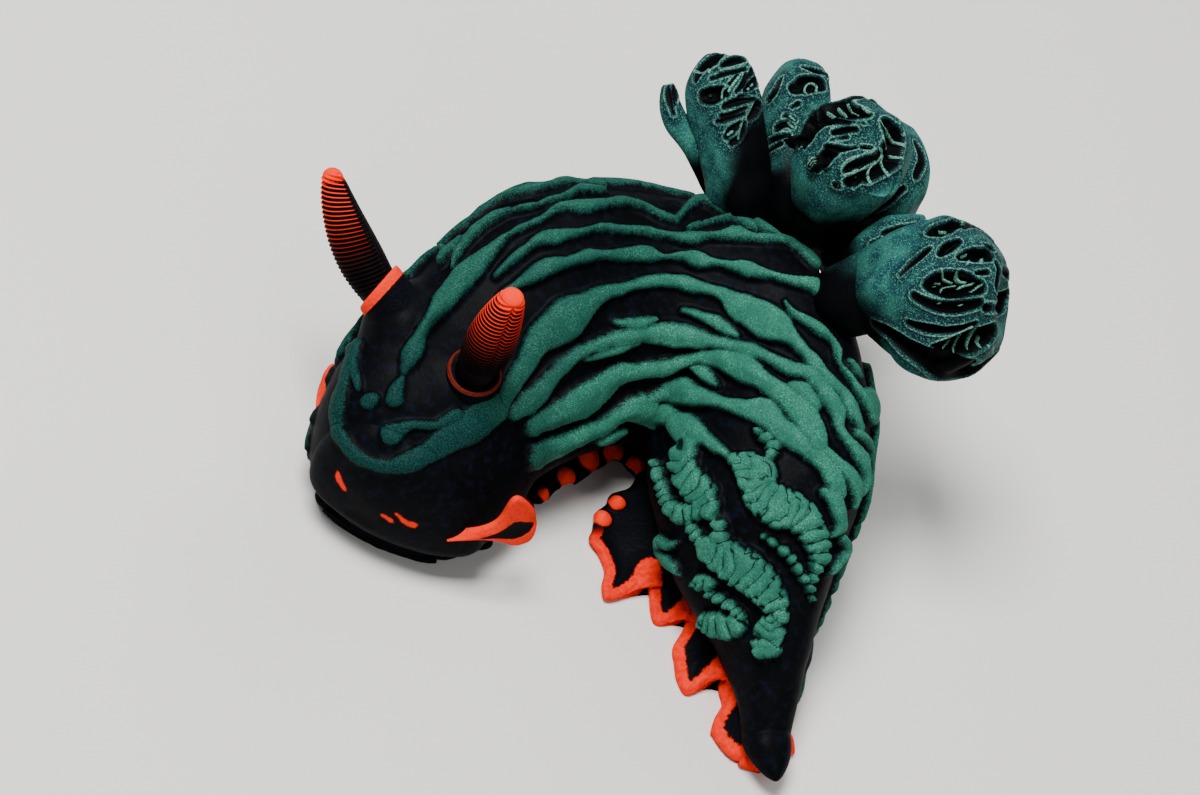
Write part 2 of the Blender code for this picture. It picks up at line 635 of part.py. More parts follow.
def plume_walls(plume, random):
    """Give the outer and inner wall of a plume as grids of points, from the root to the rim.

    Up to the notches a cross row is a circle round the axis. Past them each lobe's cross row is an arc of its
    own that cups towards the plume's middle, and each column ends on the lobe's rounded rim.
    """
    root, height, axis, opening, third = plume_frame(plume)
    fine, off, along = lobe_path(plume, height)
    lobes = plume["lobes"]
    across = np.tile(LOBE_ACROSS, lobes)
    lobe = np.repeat(np.arange(lobes), len(LOBE_ACROSS))
    middle = np.radians(plume["turn"] + 360 * lobe / lobes)
    size = 1 - LOBE_SHORTER * (0.5 + 0.5 * np.cos(middle)) + random.uniform(-0.05, 0.05, lobes)[lobe]
    rim = LOBE_NOTCH + (1 - LOBE_NOTCH) * (1 - np.abs(across) ** LOBE_ROUND)
    place = np.linspace(0, 1, LOBE_ROWS)[:, None] * rim
    beyond = smooth_step(place, LOBE_NOTCH * 0.9, LOBE_NOTCH + 0.25)
    notch_off, notch_along = np.interp(LOBE_NOTCH, fine, off), np.interp(LOBE_NOTCH, fine, along)
    free = place > LOBE_NOTCH
    out = np.interp(place, fine, off)
    up = np.interp(place, fine, along)
    out = np.where(free, notch_off + (out - notch_off) * size, out)
    up = np.where(free, notch_along + (up - notch_along) * size, up)
    turn = middle + across * np.pi / lobes
    slope = np.arctan2(np.gradient(out, axis=0), np.gradient(up, axis=0))
    sine, cosine = np.sin(slope)[..., None], np.cos(slope)[..., None]
    spoke = np.multiply.outer(np.cos(turn), opening) + np.multiply.outer(np.sin(turn), third)
    outward = np.multiply.outer(np.cos(middle), opening) + np.multiply.outer(np.sin(middle), third)
    sideways = np.cross(axis, outward)
    inward = sine * axis - cosine * outward
    cup = np.radians(180 / lobes + (LOBE_CUP - 180 / lobes) * beyond)
    hollow = (np.minimum(out, notch_off) * np.pi / lobes / cup)[..., None]
    bend = (cup * across)[..., None]
    middle_rib = np.abs(across) < 0.05
    side_rib = (np.abs(across) == 0.45) & (np.arange(LOBE_ROWS)[:, None] % 2 == 0)
    rib = LOBE_RIB * np.maximum(middle_rib, 0.6 * side_rib) * smooth_step(place, CUP_FLOOR, LOBE_NOTCH)
    walls = []
    for depth in (np.zeros_like(rib), LOBE_WALL + rib):
        depth = depth[..., None]
        circle = spoke * out[..., None] + (sine * axis - cosine * spoke) * depth
        arc = (outward * out[..., None] + inward * hollow
               - (inward * np.cos(bend) - sideways * np.sin(bend)) * (hollow - depth))
        weight = beyond[..., None]
        walls.append(root + circle * (1 - weight) + arc * weight + axis * up[..., None])
    outer, inner = walls
    outer[0] -= axis * STALK_SUNK
    floor = int(LOBE_ROWS * CUP_FLOOR / LOBE_NOTCH)
    return outer, inner[floor:]


def cup_mesh(name, outer, inner):
    """Join an outer wall and a shorter inner wall into a closed cup with like triangles on both walls."""
    around = outer.shape[1]
    wall = np.arange(outer.shape[0] * around).reshape(-1, around)
    lining = wall.size + np.arange(inner.shape[0] * around).reshape(-1, around)

    def split(a, b, c, d):
        return np.concatenate((np.stack((a, b, c), -1).reshape(-1, 3), np.stack((a, c, d), -1).reshape(-1, 3)))

    def sides(index):
        ahead = np.roll(index, -1, axis=1)
        return split(index[:-1], ahead[:-1], ahead[1:], index[1:])

    rim = split(wall[-1], np.roll(wall[-1], -1), np.roll(lining[-1], -1), lining[-1])
    faces = [tuple(int(i) for i in face) for face in np.concatenate((sides(wall), sides(lining)[:, ::-1], rim))]
    faces.append(tuple(int(i) for i in wall[0][::-1]))
    faces.append(tuple(int(i) for i in lining[0]))
    mesh = bpy.data.meshes.new(name)
    points = np.concatenate((outer.reshape(-1, 3), inner.reshape(-1, 3))) * METRES
    mesh.from_pydata([tuple(p) for p in points], [], faces)
    face_outward(mesh)
    return mesh


def main():
    """Clear the scene and build every node."""
    for old in list(bpy.data.objects):
        bpy.data.objects.remove(old)
    parts = bpy.data.collections.new(OBJECT)
    bpy.context.scene.collection.children.link(parts)
    build_body(parts)
    build_foot(parts)
    build_rhinophores(parts)
    build_tentacles(parts)
    build_plumes(parts)
    for piece in parts.objects:
        finish = next((key for key in ("foot", "rhinophore", "tentacle", "gill") if key in piece.name), "skin")
        dress(piece, finish)


main()
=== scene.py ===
"""A variable neon slug, dressed: ridged skin, scalloped foot, rhinophores, oral tentacles and gill plumes.

Lengths are millimetres until a mesh is made. Z is up, the sole lies at Z = 0 and the origin is on the sole
under the midline at the middle of the body. A place on the skin is a station along the body, from below 0 on
the snout to above 9 on the tail, and an angle round it: 0 on the left flank, 90 on the back, 180 on the right
flank and 270 on the sole. Every other place is a pixel of the 1200 by 795 photograph, which PhotoView sets on
the surface that carries it.
"""

import logging
from collections.abc import Callable
from dataclasses import dataclass, field
from enum import Enum
from functools import partial

import bpy
import numpy as np
from mathutils import Matrix


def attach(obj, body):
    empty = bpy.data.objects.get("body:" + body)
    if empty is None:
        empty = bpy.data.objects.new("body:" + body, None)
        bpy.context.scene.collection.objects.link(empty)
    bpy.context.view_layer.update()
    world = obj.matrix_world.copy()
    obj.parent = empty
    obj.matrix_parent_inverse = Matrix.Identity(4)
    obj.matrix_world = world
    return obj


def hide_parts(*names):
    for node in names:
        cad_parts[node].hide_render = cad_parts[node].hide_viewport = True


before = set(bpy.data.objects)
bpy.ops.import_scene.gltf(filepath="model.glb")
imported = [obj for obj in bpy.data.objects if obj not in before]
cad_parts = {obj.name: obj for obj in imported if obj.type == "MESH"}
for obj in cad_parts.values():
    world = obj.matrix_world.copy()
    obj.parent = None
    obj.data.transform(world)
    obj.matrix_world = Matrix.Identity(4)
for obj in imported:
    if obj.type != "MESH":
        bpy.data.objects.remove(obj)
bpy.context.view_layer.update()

Array = np.ndarray
Socket = bpy.types.NodeSocket
Adder = Callable[..., bpy.types.NodeSocket]
LOG = logging.getLogger("neon_slug")
METRES = 0.001
BODY = "root"
SEED = 7


def linear(code: str) -> tuple[float, float, float, float]:
    """Turn an sRGB hex colour into linear light.

    Args:
        code: Six hex digits, red first.

    Returns:
        Linear red, green, blue and an alpha of one.
    """
    share = np.array([int(code[i:i + 2], 16) for i in (0, 2, 4)]) / 255
    light = np.where(share <= 0.04045, share / 12.92, ((share + 0.055) / 1.055) ** 2.4)
    return (*map(float, light), 1.0)


def smooth_step(value: Array, low: float, high: float) -> Array:
    """Rise from 0 at low to 1 at high along 3s² - 2s³.

    Args:
        value: Any numbers.
        low: Where the rise starts.
        high: Where the rise ends.

    Returns:
        Shares between 0 and 1.
    """
    share = np.clip((value - low) / (high - low), 0, 1)
    return share * share * (3 - 2 * share)


def smooth_path(points: Array, steps: int) -> Array:
    """Draw a Catmull-Rom curve through points, with the end points doubled.

    Args:
        points: One row per point, of any width.
        steps: How many steps each stretch between two points gets.

    Returns:
        The curve's rows, which include the points themselves.
    """
    points = np.asarray(points, float)
    held = np.concatenate((points[:1], points, points[-1:]))
    share = (np.arange(steps) / steps)[None, :, None]
    a, b, c, d = (held[i:len(held) - 3 + i, None] for i in range(4))
    curve = (2 * b + (c - a) * share + (2 * a - 5 * b + 4 * c - d) * share**2
             + (3 * b - a - 3 * c + d) * share**3) / 2
    return np.concatenate((curve.reshape(-1, points.shape[1]), points[-1:]))


def grain(points: Array, size: float, seed: int) -> Array:
    """Give smooth noise: random values on a lattice, blended between the eight corners round each point.

    Args:
        points: Points in millimetres, last axis of three.
        size: The lattice's pitch in millimetres.
        seed: Which random lattice to take.

    Returns:
        Values between -1 and 1.
    """
    side = 32
    lattice = np.random.default_rng(seed).uniform(-1, 1, (side, side, side))
    place = points / size
    cell = np.floor(place).astype(int)
    share = place - cell
    share = share * share * (3 - 2 * share)
    total = np.zeros(points.shape[:-1])
    for corner in np.ndindex(2, 2, 2):
        index = (cell + corner) % side
        weight = np.prod(np.where(corner, share, 1 - share), axis=-1)
        total += weight * lattice[index[..., 0], index[..., 1], index[..., 2]]
    return total


def unit(vectors: Array) -> Array:
    """Give vectors a length of one along their last axis."""
    return vectors / np.maximum(np.linalg.norm(vectors, axis=-1, keepdims=True), 1e-12)


@dataclass
class Surface:
    """A closed surface in the making: its points, its faces and the values its finish reads."""

    points: Array
    quads: Array
    triangles: Array = field(default_factory=lambda: np.empty((0, 3), int))
    values: dict[str, Array] = field(default_factory=dict)

    def turned_outward(self) -> "Surface":
        """Turn every face round where the enclosed volume, the sum of corner products, comes out negative.

        Returns:
            This surface.
        """
        a, b, c, d = (self.points[self.quads[:, i]] for i in range(4))
        volume = np.einsum("ij,ij", a, np.cross(b, c)) + np.einsum("ij,ij", a, np.cross(c, d))
        if len(self.triangles):
            a, b, c = (self.points[self.triangles[:, i]] for i in range(3))
            volume += np.einsum("ij,ij", a, np.cross(b, c))
        if volume < 0:
            self.quads = self.quads[:, ::-1]
            self.triangles = self.triangles[:, ::-1]
        return self

    def piece(self, name: str, slot: str, material: bpy.types.Material,
              nodes: tuple[str, ...] = ()) -> bpy.types.Object:
        """Make the object, carry the values over as attributes and let it ride in place of the solids.

        Args:
            name: The piece's name.
            slot: The record's material slot for the piece; not used.
            material: Its finish.
            nodes: The solids that it stands for.

        Returns:
            The finished object.
        """
        self.turned_outward()
        mesh = bpy.data.meshes.new(name)
        mesh.vertices.add(len(self.points))
        mesh.vertices.foreach_set("co", (self.points * METRES).astype(np.float32).ravel())
        corners = np.concatenate((self.quads.ravel(), self.triangles.ravel()))
        sizes = np.repeat((4, 3), (len(self.quads), len(self.triangles)))
        mesh.loops.add(len(corners))
        mesh.loops.foreach_set("vertex_index", corners.astype(np.int32))
        mesh.polygons.add(len(sizes))
        mesh.polygons.foreach_set("loop_start", np.concatenate(((0,), np.cumsum(sizes)[:-1])).astype(np.int32))
        mesh.polygons.foreach_set("use_smooth", np.ones(len(sizes), bool))
        mesh.update(calc_edges=True)
        for key, value in self.values.items():
            layer = mesh.attributes.new(key, "FLOAT", "POINT")
            layer.data.foreach_set("value", value.astype(np.float32).ravel())
        mesh.validate()
        made = bpy.data.objects.new(name, mesh)
        bpy.context.scene.collection.objects.link(made)
        mesh.materials.append(material)
        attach(made, BODY)
        if nodes:
            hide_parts(*nodes)
        LOG.info("%s: %d faces", name, len(sizes))
        return made


def tube(rings: Array, values: dict[str, Array] | None = None) -> Surface:
    """Join rings of equal length into a closed tube, with a fan round the middle of each end ring.

    Args:
        rings: Points by ring, by place round it and by axis.
        values: Numbers by ring and by place, to carry along.

    Returns:
        The closed surface.
    """
    count, around = rings.shape[:2]
    index = np.arange(count * around).reshape(count, around)
    ahead = np.roll(index, -1, axis=1)
    quads = np.stack((index[:-1], ahead[:-1], ahead[1:], index[1:]), -1).reshape(-1, 4)
    pole = count * around
    first = np.stack((ahead[0], index[0], np.full(around, pole)), -1)
    last = np.stack((index[-1], ahead[-1], np.full(around, pole + 1)), -1)
    points = np.concatenate((rings.reshape(-1, 3), rings[0].mean(0)[None], rings[-1].mean(0)[None]))
    carried = {key: np.concatenate((value.ravel(), (value[0].mean(), value[-1].mean())))
               for key, value in (values or {}).items()}
    return Surface(points, quads, np.concatenate((first, last)), carried)


def shell(outer: Array, inner: Array, values: dict[str, tuple[Array, Array]] | None = None) -> Surface:
    """Join two open grids of equal size along their edges into one closed shell.

    Args:
        outer: Points of one wall.
        inner: Points of the other wall.
        values: For each name the numbers of the outer and of the inner wall.

    Returns:
        The closed surface.
    """
    rows, columns = outer.shape[:2]
    index = np.arange(rows * columns).reshape(rows, columns)
    wall = np.stack((index[:-1, :-1], index[1:, :-1], index[1:, 1:], index[:-1, 1:]), -1).reshape(-1, 4)
    edge = np.concatenate((index[0, :-1], index[:-1, -1], index[-1, :0:-1], index[:0:-1, 0]))
    after = np.roll(edge, -1)
    shift = rows * columns
    rim = np.stack((edge, after, after + shift, edge + shift), -1)
    points = np.concatenate((outer.reshape(-1, 3), inner.reshape(-1, 3)))
    carried = {key: np.concatenate((one.ravel(), other.ravel()))
               for key, (one, other) in (values or {}).items()}
    return Surface(points, np.concatenate((wall, wall[:, ::-1] + shift, rim)), values=carried)


@dataclass(frozen=True)
class Marking:
    """A line over a surface: points along it and its half width at each."""

    points: Array
    half_widths: Array


def depth_inside(points: Array, lines: list[Marking], reach: float = 3.0) -> tuple[Array, Array, Array]:
    """Measure how deep each point lies inside the nearest line.

    Every point takes, over all stretches, the greatest of half width less distance to the stretch.

    Args:
        points: Points by row, by column and by axis.
        lines: The lines to measure from.
        reach: How far from a line its values are worked out.

    Returns:
        The depth inside a line, negative outside, how far along its line the nearest place is, and its half
        width there.
    """
    flat = points.reshape(-1, 3)
    depth = np.full(len(flat), -reach)
    along = np.zeros(len(flat))
    half = np.full(len(flat), 0.1)
    for line in lines:
        run = 0.0
        low, high = line.points.min(0) - reach, line.points.max(0) + reach
        box = np.flatnonzero(((flat > low) & (flat < high)).all(1))
        for a, b, wide, wider in zip(line.points, line.points[1:], line.half_widths, line.half_widths[1:]):
            step = b - a
            length = max(float(np.linalg.norm(step)), 1e-6)
            near = box[(np.abs(flat[box] - (a + b) / 2) < length + reach).all(1)]
            offset = flat[near] - a
            share = np.clip(offset @ step / length**2, 0, 1)
            here = wide + (wider - wide) * share
            inside = here - np.linalg.norm(offset - share[:, None] * step, axis=1)
            better = inside > depth[near]
            chosen = near[better]
            depth[chosen] = inside[better]
            along[chosen] = run + share[better] * length
            half[chosen] = here[better]
            run += length
    shape = points.shape[:2]
    return depth.reshape(shape), along.reshape(shape), half.reshape(shape)


@dataclass(frozen=True)
class PhotoView:
    """The photograph's camera: how steeply it looks down, how far it is rolled, and where it stands."""

    steepness: float = 48.0
    roll: float = 28.0
    target: tuple[float, float, float] = (-0.4, -8.2, 12.0)
    distance: float = 240.0
    lens: float = 84.7
    sensor: float = 36.0
    width: int = 1200
    height: int = 795
    close: float = 6.0
    least_tilt: float = 0.45
    least_half_width: float = 0.1

    @property
    def axes(self) -> Array:
        """The unit vectors to the right, up and back towards the camera, one per row."""
        steep, roll = np.radians((self.steepness, self.roll))
        level = np.array((1.0, 0.0, 0.0))
        rise = np.array((0.0, np.sin(steep), np.cos(steep)))
        back = np.array((0.0, -np.cos(steep), np.sin(steep)))
        right = np.cos(roll) * level + np.sin(roll) * rise
        up = np.cos(roll) * rise - np.sin(roll) * level
        return np.stack((right, up, back))

    @property
    def eye(self) -> Array:
        """Where the camera stands, in millimetres."""
        return np.array(self.target) + self.axes[2] * self.distance

    @property
    def focal(self) -> float:
        """The focal length in pixels."""
        return self.lens / self.sensor * self.width

    def pixels(self, points: Array) -> Array:
        """Give the pixel of each point: its offsets right and up, over its depth, times the focal length."""
        right, up, away = np.moveaxis((points - self.eye) @ self.axes.T, -1, 0)
        across = self.width / 2 - self.focal * right / away
        return np.stack((across, self.height / 2 + self.focal * up / away), -1)

    def rays(self, pixels: Array) -> Array:
        """Give each pixel's ray from the camera, one millimetre long along the camera's own axis."""
        right, up, back = self.axes
        pixels = np.asarray(pixels, float)
        return (-back + right * (pixels[..., :1] - self.width / 2) / self.focal
                + up * (self.height / 2 - pixels[..., 1:2]) / self.focal)

    def on_level(self, pixels: Array, height: float) -> Array:
        """Follow each pixel's ray down to a level plane.

        Args:
            pixels: Pixel positions.
            height: The plane's height in millimetres.

        Returns:
            The points where the rays meet it.
        """
        ray = self.rays(pixels)
        return self.eye + ray * ((height - self.eye[2]) / ray[..., 2:])

    def depth(self, points: Array) -> Array:
        """Give how far points lie in front of the camera, along its own axis."""
        return (self.eye - points) @ self.axes[2]

    def at_depth(self, pixels: Array, depth: Array) -> Array:
        """Follow each pixel's ray to a depth in front of the camera."""
        return self.eye + self.rays(pixels) * np.asarray(depth, float)[..., None]

    def on_surface(self, trace: tuple, points: Array, facing: Array, steps: int = 3) -> "Marking":
        """Set a trace on a surface: each pixel goes to the nearest point of the surface's near side.

        A width grows by half of what the surface's tilt away from the camera hides.

        Args:
            trace: Pixel x, pixel y and width for each point.
            points: The surface's points, by row and column.
            facing: How far each of them faces the camera, 0 at the outline.
            steps: How many steps the curve takes between two points.

        Returns:
            The line on the surface.
        """
        pixels = self.pixels(points)
        away = np.linalg.norm(points - self.eye, axis=-1)
        places = []
        for x, y, _ in trace:
            miss = ((pixels - (x, y)) ** 2).sum(-1) + np.where(facing > -0.02, 0, 1e5)
            near = miss < max(self.close, miss.min() * 1.5)
            places.append(np.unravel_index(np.where(near, away, 1e9).argmin(), away.shape))
        places = tuple(np.array(places).T)
        tilt = np.clip(facing[places], self.least_tilt, 1)
        half = np.array([width for *_, width in trace]) / 2 * self.distance / self.focal
        path = smooth_path(np.column_stack((points[places], half * (0.5 + 0.5 / tilt))), steps)
        return Marking(path[:, :3], np.maximum(path[:, 3], self.least_half_width))

    def camera(self) -> None:
        """Set up the camera and make it the scene's own."""
        lens = bpy.data.cameras.new("photo_view")
        lens.lens = self.lens
        lens.sensor_width = self.sensor
        lens.clip_start = 0.001
        holder = bpy.data.objects.new("photo_view", lens)
        turn = Matrix(self.axes.T.tolist()).to_4x4()
        turn.translation = [float(v) * METRES for v in self.eye]
        holder.matrix_world = turn
        bpy.context.scene.collection.objects.link(holder)
        bpy.context.scene.camera = holder


# One row per station: the midline's x and y, the half width left and right, the height of the widest line and
# of the back, how far the back leans to the right, and the foot's half width left and right.
STATIONS = (
    (-11.2, -22.8, 8.4, 7.2, 4.6, 13.0, 2.4, 4.4, 4.8),
    (-11.4, -18.6, 10.2, 8.2, 5.6, 16.2, 3.6, 7.4, 6.6),
    (-10.5, -12.4, 10.2, 7.6, 7.2, 18.3, 4.3, 8.8, 7.6),
    (-6.6, -5.8, 10.2, 9.2, 8.8, 21.9, 5.6, 8.4, 8.4),
    (0.0, 0.0, 9.5, 8.6, 10.0, 21.3, 5.7, 6.6, 8.8),
    (7.2, 0.8, 8.2, 6.6, 10.0, 23.6, 4.9, 5.8, 8.2),
    (12.4, -4.2, 9.4, 6.9, 9.5, 21.0, 4.8, 9.6, 7.8),
    (16.3, -12.0, 7.5, 6.7, 8.0, 17.3, 3.3, 5.4, 6.8),
    (20.9, -19.2, 3.2, 4.0, 5.6, 11.4, 1.6, 2.0, 4.6),
    (25.2, -25.2, 1.9, 2.1, 2.6, 4.6, 0.0, 1.2, 2.2),
)


@dataclass(frozen=True)
class BodyForm:
    """The smooth form of the body: a midline curve and an egg-shaped section that changes along it."""

    rows: Array = field(default_factory=lambda: np.array(STATIONS))
    underside: float = 1.9
    snout: float = 3.6
    tail_tip: float = 3.6

    @property
    def last(self) -> int:
        """The last station."""
        return len(self.rows) - 1

    def bend(self) -> Array:
        """Solve for the second derivatives of the natural cubic curve through the rows.

        Returns:
            One row of them per station.
        """
        count = len(self.rows)
        matrix = np.eye(count)
        right = np.zeros_like(self.rows)
        for i in range(1, count - 1):
            matrix[i, i - 1:i + 2] = (1, 4, 1)
            right[i] = 6 * (self.rows[i - 1] - 2 * self.rows[i] + self.rows[i + 1])
        return np.linalg.solve(matrix, right)

    def station(self, t: Array) -> Array:
        """Read the rows at any t along the natural cubic curve.

        Args:
            t: Stations.

        Returns:
            One row per station asked for.
        """
        t = np.clip(t, 0, self.last)
        i = np.minimum(t.astype(int), self.last - 1)
        after = (t - i)[..., None]
        before = 1 - after
        bend = self.bend()
        curve = ((before**3 - before) * bend[i] + (after**3 - after) * bend[i + 1]) / 6
        return before * self.rows[i] + after * self.rows[i + 1] + curve

    def midline(self, t: Array) -> tuple[Array, Array, Array]:
        """Give the midline's rows and its directions.

        Args:
            t: Stations.

        Returns:
            The rows, the unit vectors towards the snout and the ones towards the left.
        """
        small = 0.001
        t = np.clip(t, 0, self.last)
        ahead = unit(self.station(t - small)[..., :2] - self.station(t + small)[..., :2])
        return self.station(t), ahead, np.stack((-ahead[..., 1], ahead[..., 0]), -1)

    def ends(self, t: Array) -> tuple[Array, Array, Array]:
        """Give how far the ends have closed.

        Args:
            t: Stations.

        Returns:
            How far t lies into the snout and into the tail tip, and the section's share of its size.
        """
        snout = np.clip(-t, 0, 1)
        tail = np.clip(t - self.last, 0, 1)
        return snout, tail, np.sqrt(np.maximum(1 - snout**2, 0)) * (1 - tail**2) ** 0.8

    def skin(self, t: Array, angle: Array) -> Array:
        """Give points of the smooth skin.

        A section's half width follows a power of the cosine and its height a power of the sine, drawn in under
        the widest line. The back leans to the right, and the ends close as half ellipses.

        Args:
            t: Stations.
            angle: Degrees round the body.

        Returns:
            Points in millimetres.
        """
        t, angle = np.broadcast_arrays(np.asarray(t, float), np.radians(np.asarray(angle, float)))
        row, ahead, left = self.midline(t)
        snout, tail, size = self.ends(t)
        across, up = np.cos(angle), np.sin(angle)
        low = up < 0
        half = np.where(across >= 0, row[..., 2], row[..., 3])
        side = half * np.sign(across) * np.abs(across) ** np.where(low, 0.6, 0.9)
        side = side * np.where(low, 1 - 0.32 * up**2, 1) * size
        widest, back = row[..., 4], row[..., 5]
        rise = np.where(low, -(widest - self.underside) * np.abs(up) ** 0.9, (back - widest) * up) * size
        height = widest + rise
        side = side - row[..., 6] * (height - self.underside) / (back - self.underside)
        reach = snout * self.snout - tail * self.tail_tip
        plan = row[..., :2] + left * side[..., None] + ahead * reach[..., None]
        return np.concatenate((plan, height[..., None]), -1)

    def normal(self, t: Array, angle: Array) -> Array:
        """Give the outward normals of the smooth skin, the cross of its two directions.

        Args:
            t: Stations.
            angle: Degrees round the body.

        Returns:
            Unit vectors.
        """
        along = self.skin(np.asarray(t) - 0.02, angle) - self.skin(np.asarray(t) + 0.02, angle)
        around = self.skin(t, np.asarray(angle) + 1.0) - self.skin(t, np.asarray(angle) - 1.0)
        return unit(np.cross(around, along))


# The crests of the ridges on the side that the photograph shows: pixel x, pixel y and the crest's width there.
RIDGE_TRACES = {
    "front_loop": ((357, 346, 8), (349, 366, 12), (342, 386, 12), (337, 405, 18), (338, 425, 12),
                   (346, 445, 14), (360, 458, 12), (380, 465, 12), (402, 465, 16), (425, 455, 20),
                   (450, 440, 28), (474, 424, 32), (495, 408, 26)),
    "crown_link": ((392, 432, 20), (410, 427, 10), (436, 424, 8), (458, 416, 14)),
    "snout_short": ((352, 350, 8), (354, 370, 8), (360, 388, 4)),
    "snout_spot": ((367, 402, 13), (371, 398, 13)),
    "crown_spot": ((394, 398, 14), (397, 388, 12), (401, 376, 5)),
    "back_3": ((404, 372, 5), (411, 352, 17), (420, 335, 9), (432, 318, 10), (446, 300, 18), (462, 280, 22),
               (480, 260, 18), (500, 241, 8), (520, 229, 6), (540, 221, 6), (560, 210, 8), (580, 207, 12),
               (600, 205, 7), (625, 203, 6), (645, 208, 7), (660, 216, 8), (676, 220, 5)),
    "back_3_upper": ((676, 220, 5), (688, 208, 6), (702, 200, 9), (722, 195, 7), (742, 192, 5), (756, 189, 9),
                     (766, 184, 4)),
    "back_3_lower": ((690, 229, 4), (704, 226, 3), (724, 221, 4), (744, 215, 9), (762, 214, 7), (786, 216, 3)),
    "back_2": ((452, 268, 3), (462, 250, 6), (475, 233, 7), (492, 221, 6), (510, 213, 5), (530, 208, 4),
               (548, 203, 4), (565, 197, 4), (580, 190, 6), (605, 190, 4)),
    "back_2_lower": ((440, 264, 4), (452, 250, 6), (462, 240, 4)),
    "back_2_outer": ((408, 276, 4), (425, 262, 5), (445, 248, 4)),
    "back_1": ((440, 246, 3), (457, 228, 4), (478, 213, 5), (499, 201, 5), (522, 194, 5), (546, 189, 5),
               (566, 183, 5), (585, 181, 5), (604, 184, 4)),
    "back_4": ((496, 276, 5), (508, 263, 7), (524, 250, 7), (540, 240, 12), (556, 238, 14), (576, 233, 8),
               (600, 229, 7), (622, 231, 8), (645, 232, 7), (668, 237, 7), (690, 239, 12), (706, 238, 7),
               (722, 237, 7), (737, 235, 14), (752, 240, 6), (775, 241, 7), (795, 246, 10), (812, 254, 14),
               (828, 257, 3)),
    "back_5": ((502, 296, 8), (516, 286, 9), (532, 276, 14), (548, 268, 16), (566, 262, 10), (590, 255, 12),
               (612, 256, 8), (640, 254, 16), (662, 257, 7), (682, 257, 7), (697, 261, 16), (712, 262, 8),
               (732, 266, 10), (752, 270, 14), (772, 276, 8), (792, 281, 8), (810, 285, 14), (820, 293, 14),
               (833, 300, 4)),
    "flank_6": ((500, 402, 18), (512, 384, 18), (523, 366, 18), (537, 345, 26), (552, 330, 34), (568, 318, 38),
                (584, 306, 24), (600, 294, 14), (622, 287, 12), (645, 283, 12), (668, 281, 12), (688, 284, 16),
                (705, 287, 12), (722, 294, 14), (740, 305, 26), (757, 317, 34), (773, 324, 32), (788, 332, 20),
                (799, 346, 12), (812, 362, 12), (826, 378, 12), (842, 394, 11), (852, 412, 13), (859, 427, 6)),
    "flank_6_end": ((856, 433, 8), (866, 443, 5), (870, 458, 4)),
    "flank_7": ((513, 413, 14), (527, 402, 20), (543, 386, 16), (560, 367, 14), (578, 351, 12), (600, 342, 12),
                (625, 335, 14), (650, 332, 18), (675, 335, 24), (698, 338, 20), (720, 342, 12), (745, 349, 12),
                (768, 359, 12), (790, 368, 16), (810, 375, 12), (824, 392, 16), (835, 412, 16), (839, 430, 10),
                (850, 446, 12), (861, 463, 12), (861, 482, 9), (857, 492, 5)),
    "flank_8": ((530, 426, 16), (548, 416, 20), (568, 404, 26), (590, 393, 32), (612, 378, 22), (636, 371, 16),
                (660, 367, 18), (682, 362, 12), (704, 358, 14), (726, 362, 22), (746, 371, 26), (764, 382, 18),
                (782, 394, 20), (798, 408, 24), (810, 424, 26), (814, 442, 24), (808, 454, 14)),
    "flank_9": ((536, 452, 22), (556, 441, 20), (580, 430, 18), (602, 422, 16), (622, 410, 18), (640, 406, 28),
                (660, 413, 26), (678, 418, 12)),
    "flank_9_end": ((680, 424, 20), (692, 432, 28), (706, 440, 14), (721, 448, 12), (732, 458, 6)),
    "flank_10": ((648, 396, 8), (664, 391, 16), (682, 390, 24), (700, 396, 18), (722, 401, 12), (745, 408, 18),
                 (764, 413, 26), (778, 425, 20), (793, 437, 24), (808, 450, 22), (822, 464, 18), (833, 480, 18),
                 (839, 492, 6)),
    "flank_11": ((597, 438, 6), (610, 434, 10), (624, 428, 5)),
    "island_1": ((614, 324, 5), (635, 322, 10), (656, 319, 4)),
    "island_2": ((684, 310, 5), (703, 316, 10), (720, 326, 12), (738, 334, 6)),
    "island_3": ((584, 359, 5), (608, 351, 9), (636, 344, 5)),
    "island_4": ((694, 366, 6), (706, 374, 14), (719, 384, 6)),
    "island_5": ((793, 386, 10), (805, 393, 16), (817, 407, 8)),
    "island_6": ((848, 362, 5), (853, 368, 8), (859, 378, 5)),
    "rear_12": ((784, 302, 4), (797, 315, 8), (812, 326, 10), (826, 337, 8), (835, 350, 6), (838, 364, 5),
                (848, 377, 7), (858, 392, 8), (869, 407, 20), (874, 420, 8)),
    "rear_13": ((826, 452, 8), (836, 462, 13), (847, 475, 14), (852, 490, 12), (850, 506, 5)),
    "rear_14": ((823, 491, 8), (831, 500, 14), (836, 514, 14), (838, 526, 12), (829, 534, 6)),
    "rear_15": ((839, 536, 8), (842, 549, 8), (835, 561, 6), (828, 572, 5)),
    "dash_1": ((636, 545, 5), (646, 548, 9), (657, 548, 3)),
    "dash_2": ((663, 538, 5), (670, 543, 8), (678, 544, 4)),
    "dash_3": ((660, 553, 5), (668, 560, 9), (676, 568, 8), (681, 574, 4)),
}

